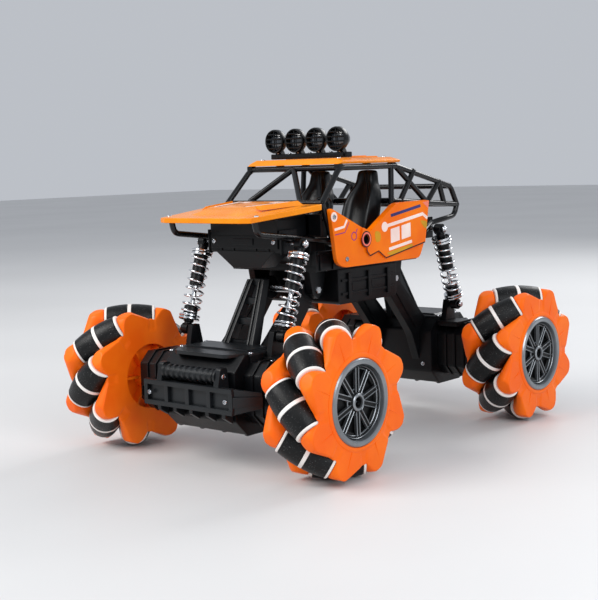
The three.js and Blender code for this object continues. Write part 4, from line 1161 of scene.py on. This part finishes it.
def build_cockpit():
    """The cockpit moulding with its dashboard and gear lever, the two seats and the steering wheel."""
    tub = Shape()
    tub.box(-29.5, 29.5, -45.5, 40, 112.3, 117, 0.7)
    tub.beam(-29.5, 29.5, ((-45.5, 117), (-45.5, 140), (-40, 138.4), (-36, 117)), 1.0)
    tub.beam(-4.5, 4.5, ((-40, 117), (-40, 124), (8, 122), (10, 117)), 1.2)
    tub.tube([(2.5, -22, 122), (3.5, -24, 131)], 0.8, 12, 0)
    tub.lathe([(0, -1.8), (1.2, -1.5), (1.8, -0.4), (1.8, 0.6), (1.2, 1.6), (0, 1.9)], (3.6, -24.3, 132),
              "z", 20)
    for x in (-20, -8, 8):
        tub.beam(x - 4, x + 4, ((-40.6, 133.6), (-41, 137), (-39.2, 133.2), (-39.6, 136.6)), 0.4)
    for x in (-21, -7, 7, 21):
        tub.box(x - 0.8, x + 0.8, -36, 38, 116.4, 118, 0.3)
    seats = Shape()
    seat = seat_mesh()
    for side in SIDES:
        seats.take_mesh(seat.copy(), Matrix.Translation((side * SEAT_X, 0, 0)) @ Matrix.Scale(1 / MM, 4))
    wheel = Shape()
    wheel.place = Matrix.Translation((SEAT_X, -30, 144)) @ Matrix.Rotation(math.radians(55), 4, "X")
    loop = [(8.5 * math.cos(turn), 8.5 * math.sin(turn), 0) for turn in turns(40)]
    wheel.tube(loop, 1.15, 14, 0, closed=True)
    for angle in (90, 210, 330):
        reach = Vector((math.cos(math.radians(angle)), math.sin(math.radians(angle)), 0))
        across = Vector((-reach.y, reach.x, 0))
        wheel.hull([reach * r + across * w + Vector((0, 0, z))
                    for r, w in ((1.5, 1.4), (1.5, -1.4), (8.4, 1), (8.4, -1)) for z in (-0.6, 0.3)], 0.2, 1)
    wheel.lathe([(0, -1.6), (2.2, -1.6), (2.8, -1), (2.8, 0.4), (2.2, 1.1), (0, 1.3)], axis="z", sides=28)
    wheel.place = Matrix.Identity(4)
    wheel.tube([(SEAT_X, -42, 132.8), (SEAT_X, -30.6, 143.4)], 1.7, 18, 0)
    chassis_piece("cockpit_tub", tub, BLACK, ["cockpit"])
    chassis_piece("bucket_seats", seats, SEAT, angle=80, weighted=False)
    chassis_piece("steering_wheel", wheel, LAMP, angle=45, weighted=False)


build_cockpit()

# ---- Light bar -----------------------------------------------------------------------------------
LAMP_COUNT, LAMP_PITCH, LAMP_Z = 4, 16.8, 187
GRILLE_BARS, GRILLE_RADIUS = 4, 6.4


def build_light_bar():
    """The bar with four round lamps on stems, each with a lens, bars across it and screws."""
    shell, lens, metal = Shape(), Shape(), Shape()
    shell.box(-31, 31, -16, -10.5, 175.6, 179, 0.7)
    shell.box(-29, 29, -17, -15.4, 176.2, 178.2, 0.4)
    for i in range(LAMP_COUNT):
        x = (i - (LAMP_COUNT - 1) / 2) * LAMP_PITCH
        at = (x, 0, LAMP_Z)
        shell.lathe([(0, -8.3), (2.4, -8.5), (3.6, -9.2), (7.2, -15.0), (7.6, -16.2), (7.6, -18.6),
                     (7.3, -19.4), (6.6, -19.5), (6.2, -18.9), (6.0, -15.4), (0, -15.4)], at, "y", 44)
        for k in range(GRILLE_BARS):
            z = (k - (GRILLE_BARS - 1) / 2) * 2.9
            half = math.sqrt(GRILLE_RADIUS**2 - z**2)
            shell.box(x - half, x + half, -19.7, -18.5, LAMP_Z + z - 0.42, LAMP_Z + z + 0.42, 0.2, 1)
        shell.box(x - 0.3, x + 0.3, -19.3, -18.4, 180.7, 193.3, 0.12, 1)
        lens.lathe([(0, -15.2), (5.9, -15.2), (5.9, -16.4), (4.6, -17.3), (2.4, -17.8), (0, -17.9)], at,
                   "y", 40)
        shell.hull([(x + dx, y, 178.4) for dx in (-2.6, 2.6) for y in (-15.6, -11)]
                   + [(x + dx, y, 181.4) for dx in (-1.6, 1.6) for y in (-15, -11.5)], 0.4)
        metal.screw((x, -15.3, 180.4), (0, -1, 0), 1.4)
        metal.screw((x + (8.4 if i < LAMP_COUNT - 1 else -8.4), -13.4, 179), (0, 0, 1), 1.3)
    chassis_piece("lamp_shells", shell, LAMP, ["light_bar"])
    chassis_piece("lamp_lenses", lens, LENS)
    chassis_piece("lamp_screws", metal, STEEL)


build_light_bar()

# ---- Floor, lights and camera --------------------------------------------------------------------
FLOOR_REACH = 6
SKY, SKY_STRENGTH = (0.84, 0.88, 0.95, 1), 0.6
CAMERA_AT = (0.4963, -0.6079, 0.1721)
CAMERA_AZIMUTH, CAMERA_PITCH, CAMERA_ROLL = (math.radians(angle) for angle in (40.596, 6.332, -1.764))
CAMERA_LENS, CAMERA_SENSOR = 73.3, 36
LIGHTS = (  # name, place, target, size, watts, colour
    ("key", (-0.55, -1.1, 1.1), (0, -0.02, 0.08), (0.9, 0.7), 18, (1.0, 0.98, 0.95)),
    ("side", (1.2, -0.5, 0.75), (0, 0, 0.06), (0.8, 0.8), 8.5, (0.96, 0.98, 1.0)),
    ("back", (0.1, 1.2, 0.9), (0, 0, 0.1), (1.0, 0.5), 11, (1.0, 1.0, 1.0)),
)


def build_stage():
    """The pale floor and the sky's light."""
    floor_mesh = bpy.data.meshes.new("floor")
    corners = [(x * FLOOR_REACH, y * FLOOR_REACH, 0) for x, y in ((-1, -1), (1, -1), (1, 1), (-1, 1))]
    floor_mesh.from_pydata(corners, [], [(0, 1, 2, 3)])
    floor = bpy.data.objects.new("floor", floor_mesh)
    bpy.context.scene.collection.objects.link(floor)
    floor_mesh.materials.append(finish("floor_paint", "d3d3d3", "cecece", (0.5, 0.6), patch=3))
    world = bpy.data.worlds.new("studio")
    world.use_nodes = True
    background = world.node_tree.nodes["Background"]
    background.inputs["Color"].default_value = SKY
    background.inputs["Strength"].default_value = SKY_STRENGTH
    bpy.context.scene.world = world


def area_light(name, at, aim, size, watts, colour):
    """A soft rectangular lamp that points at a target."""
    light = bpy.data.lights.new(name, "AREA")
    light.shape = "RECTANGLE"
    light.size, light.size_y = size
    light.energy = watts
    light.color = colour
    obj = bpy.data.objects.new(name, light)
    bpy.context.scene.collection.objects.link(obj)
    obj.location = at
    obj.rotation_euler = (Vector(aim) - Vector(at)).to_track_quat("-Z", "Y").to_euler()


def build_camera():
    """The scene's camera, from its azimuth, its pitch down and its roll."""
    ahead = Vector((-math.sin(CAMERA_AZIMUTH) * math.cos(CAMERA_PITCH),
                    math.cos(CAMERA_AZIMUTH) * math.cos(CAMERA_PITCH), -math.sin(CAMERA_PITCH)))
    level = ahead.cross(Vector((0, 0, 1))).normalized()
    upright = level.cross(ahead)
    right = level * math.cos(CAMERA_ROLL) + upright * math.sin(CAMERA_ROLL)
    up = upright * math.cos(CAMERA_ROLL) - level * math.sin(CAMERA_ROLL)
    data = bpy.data.cameras.new("camera")
    data.lens, data.sensor_width, data.clip_start = CAMERA_LENS, CAMERA_SENSOR, 0.01
    camera = bpy.data.objects.new("camera", data)
    bpy.context.scene.collection.objects.link(camera)
    turn = Matrix((right, up, -ahead)).transposed().to_4x4()
    camera.matrix_world = Matrix.Translation(CAMERA_AT) @ turn
    bpy.context.scene.camera = camera


build_stage()
for light in LIGHTS:
    area_light(*light)
build_camera()
bpy.context.scene.view_settings.view_transform = "Standard"
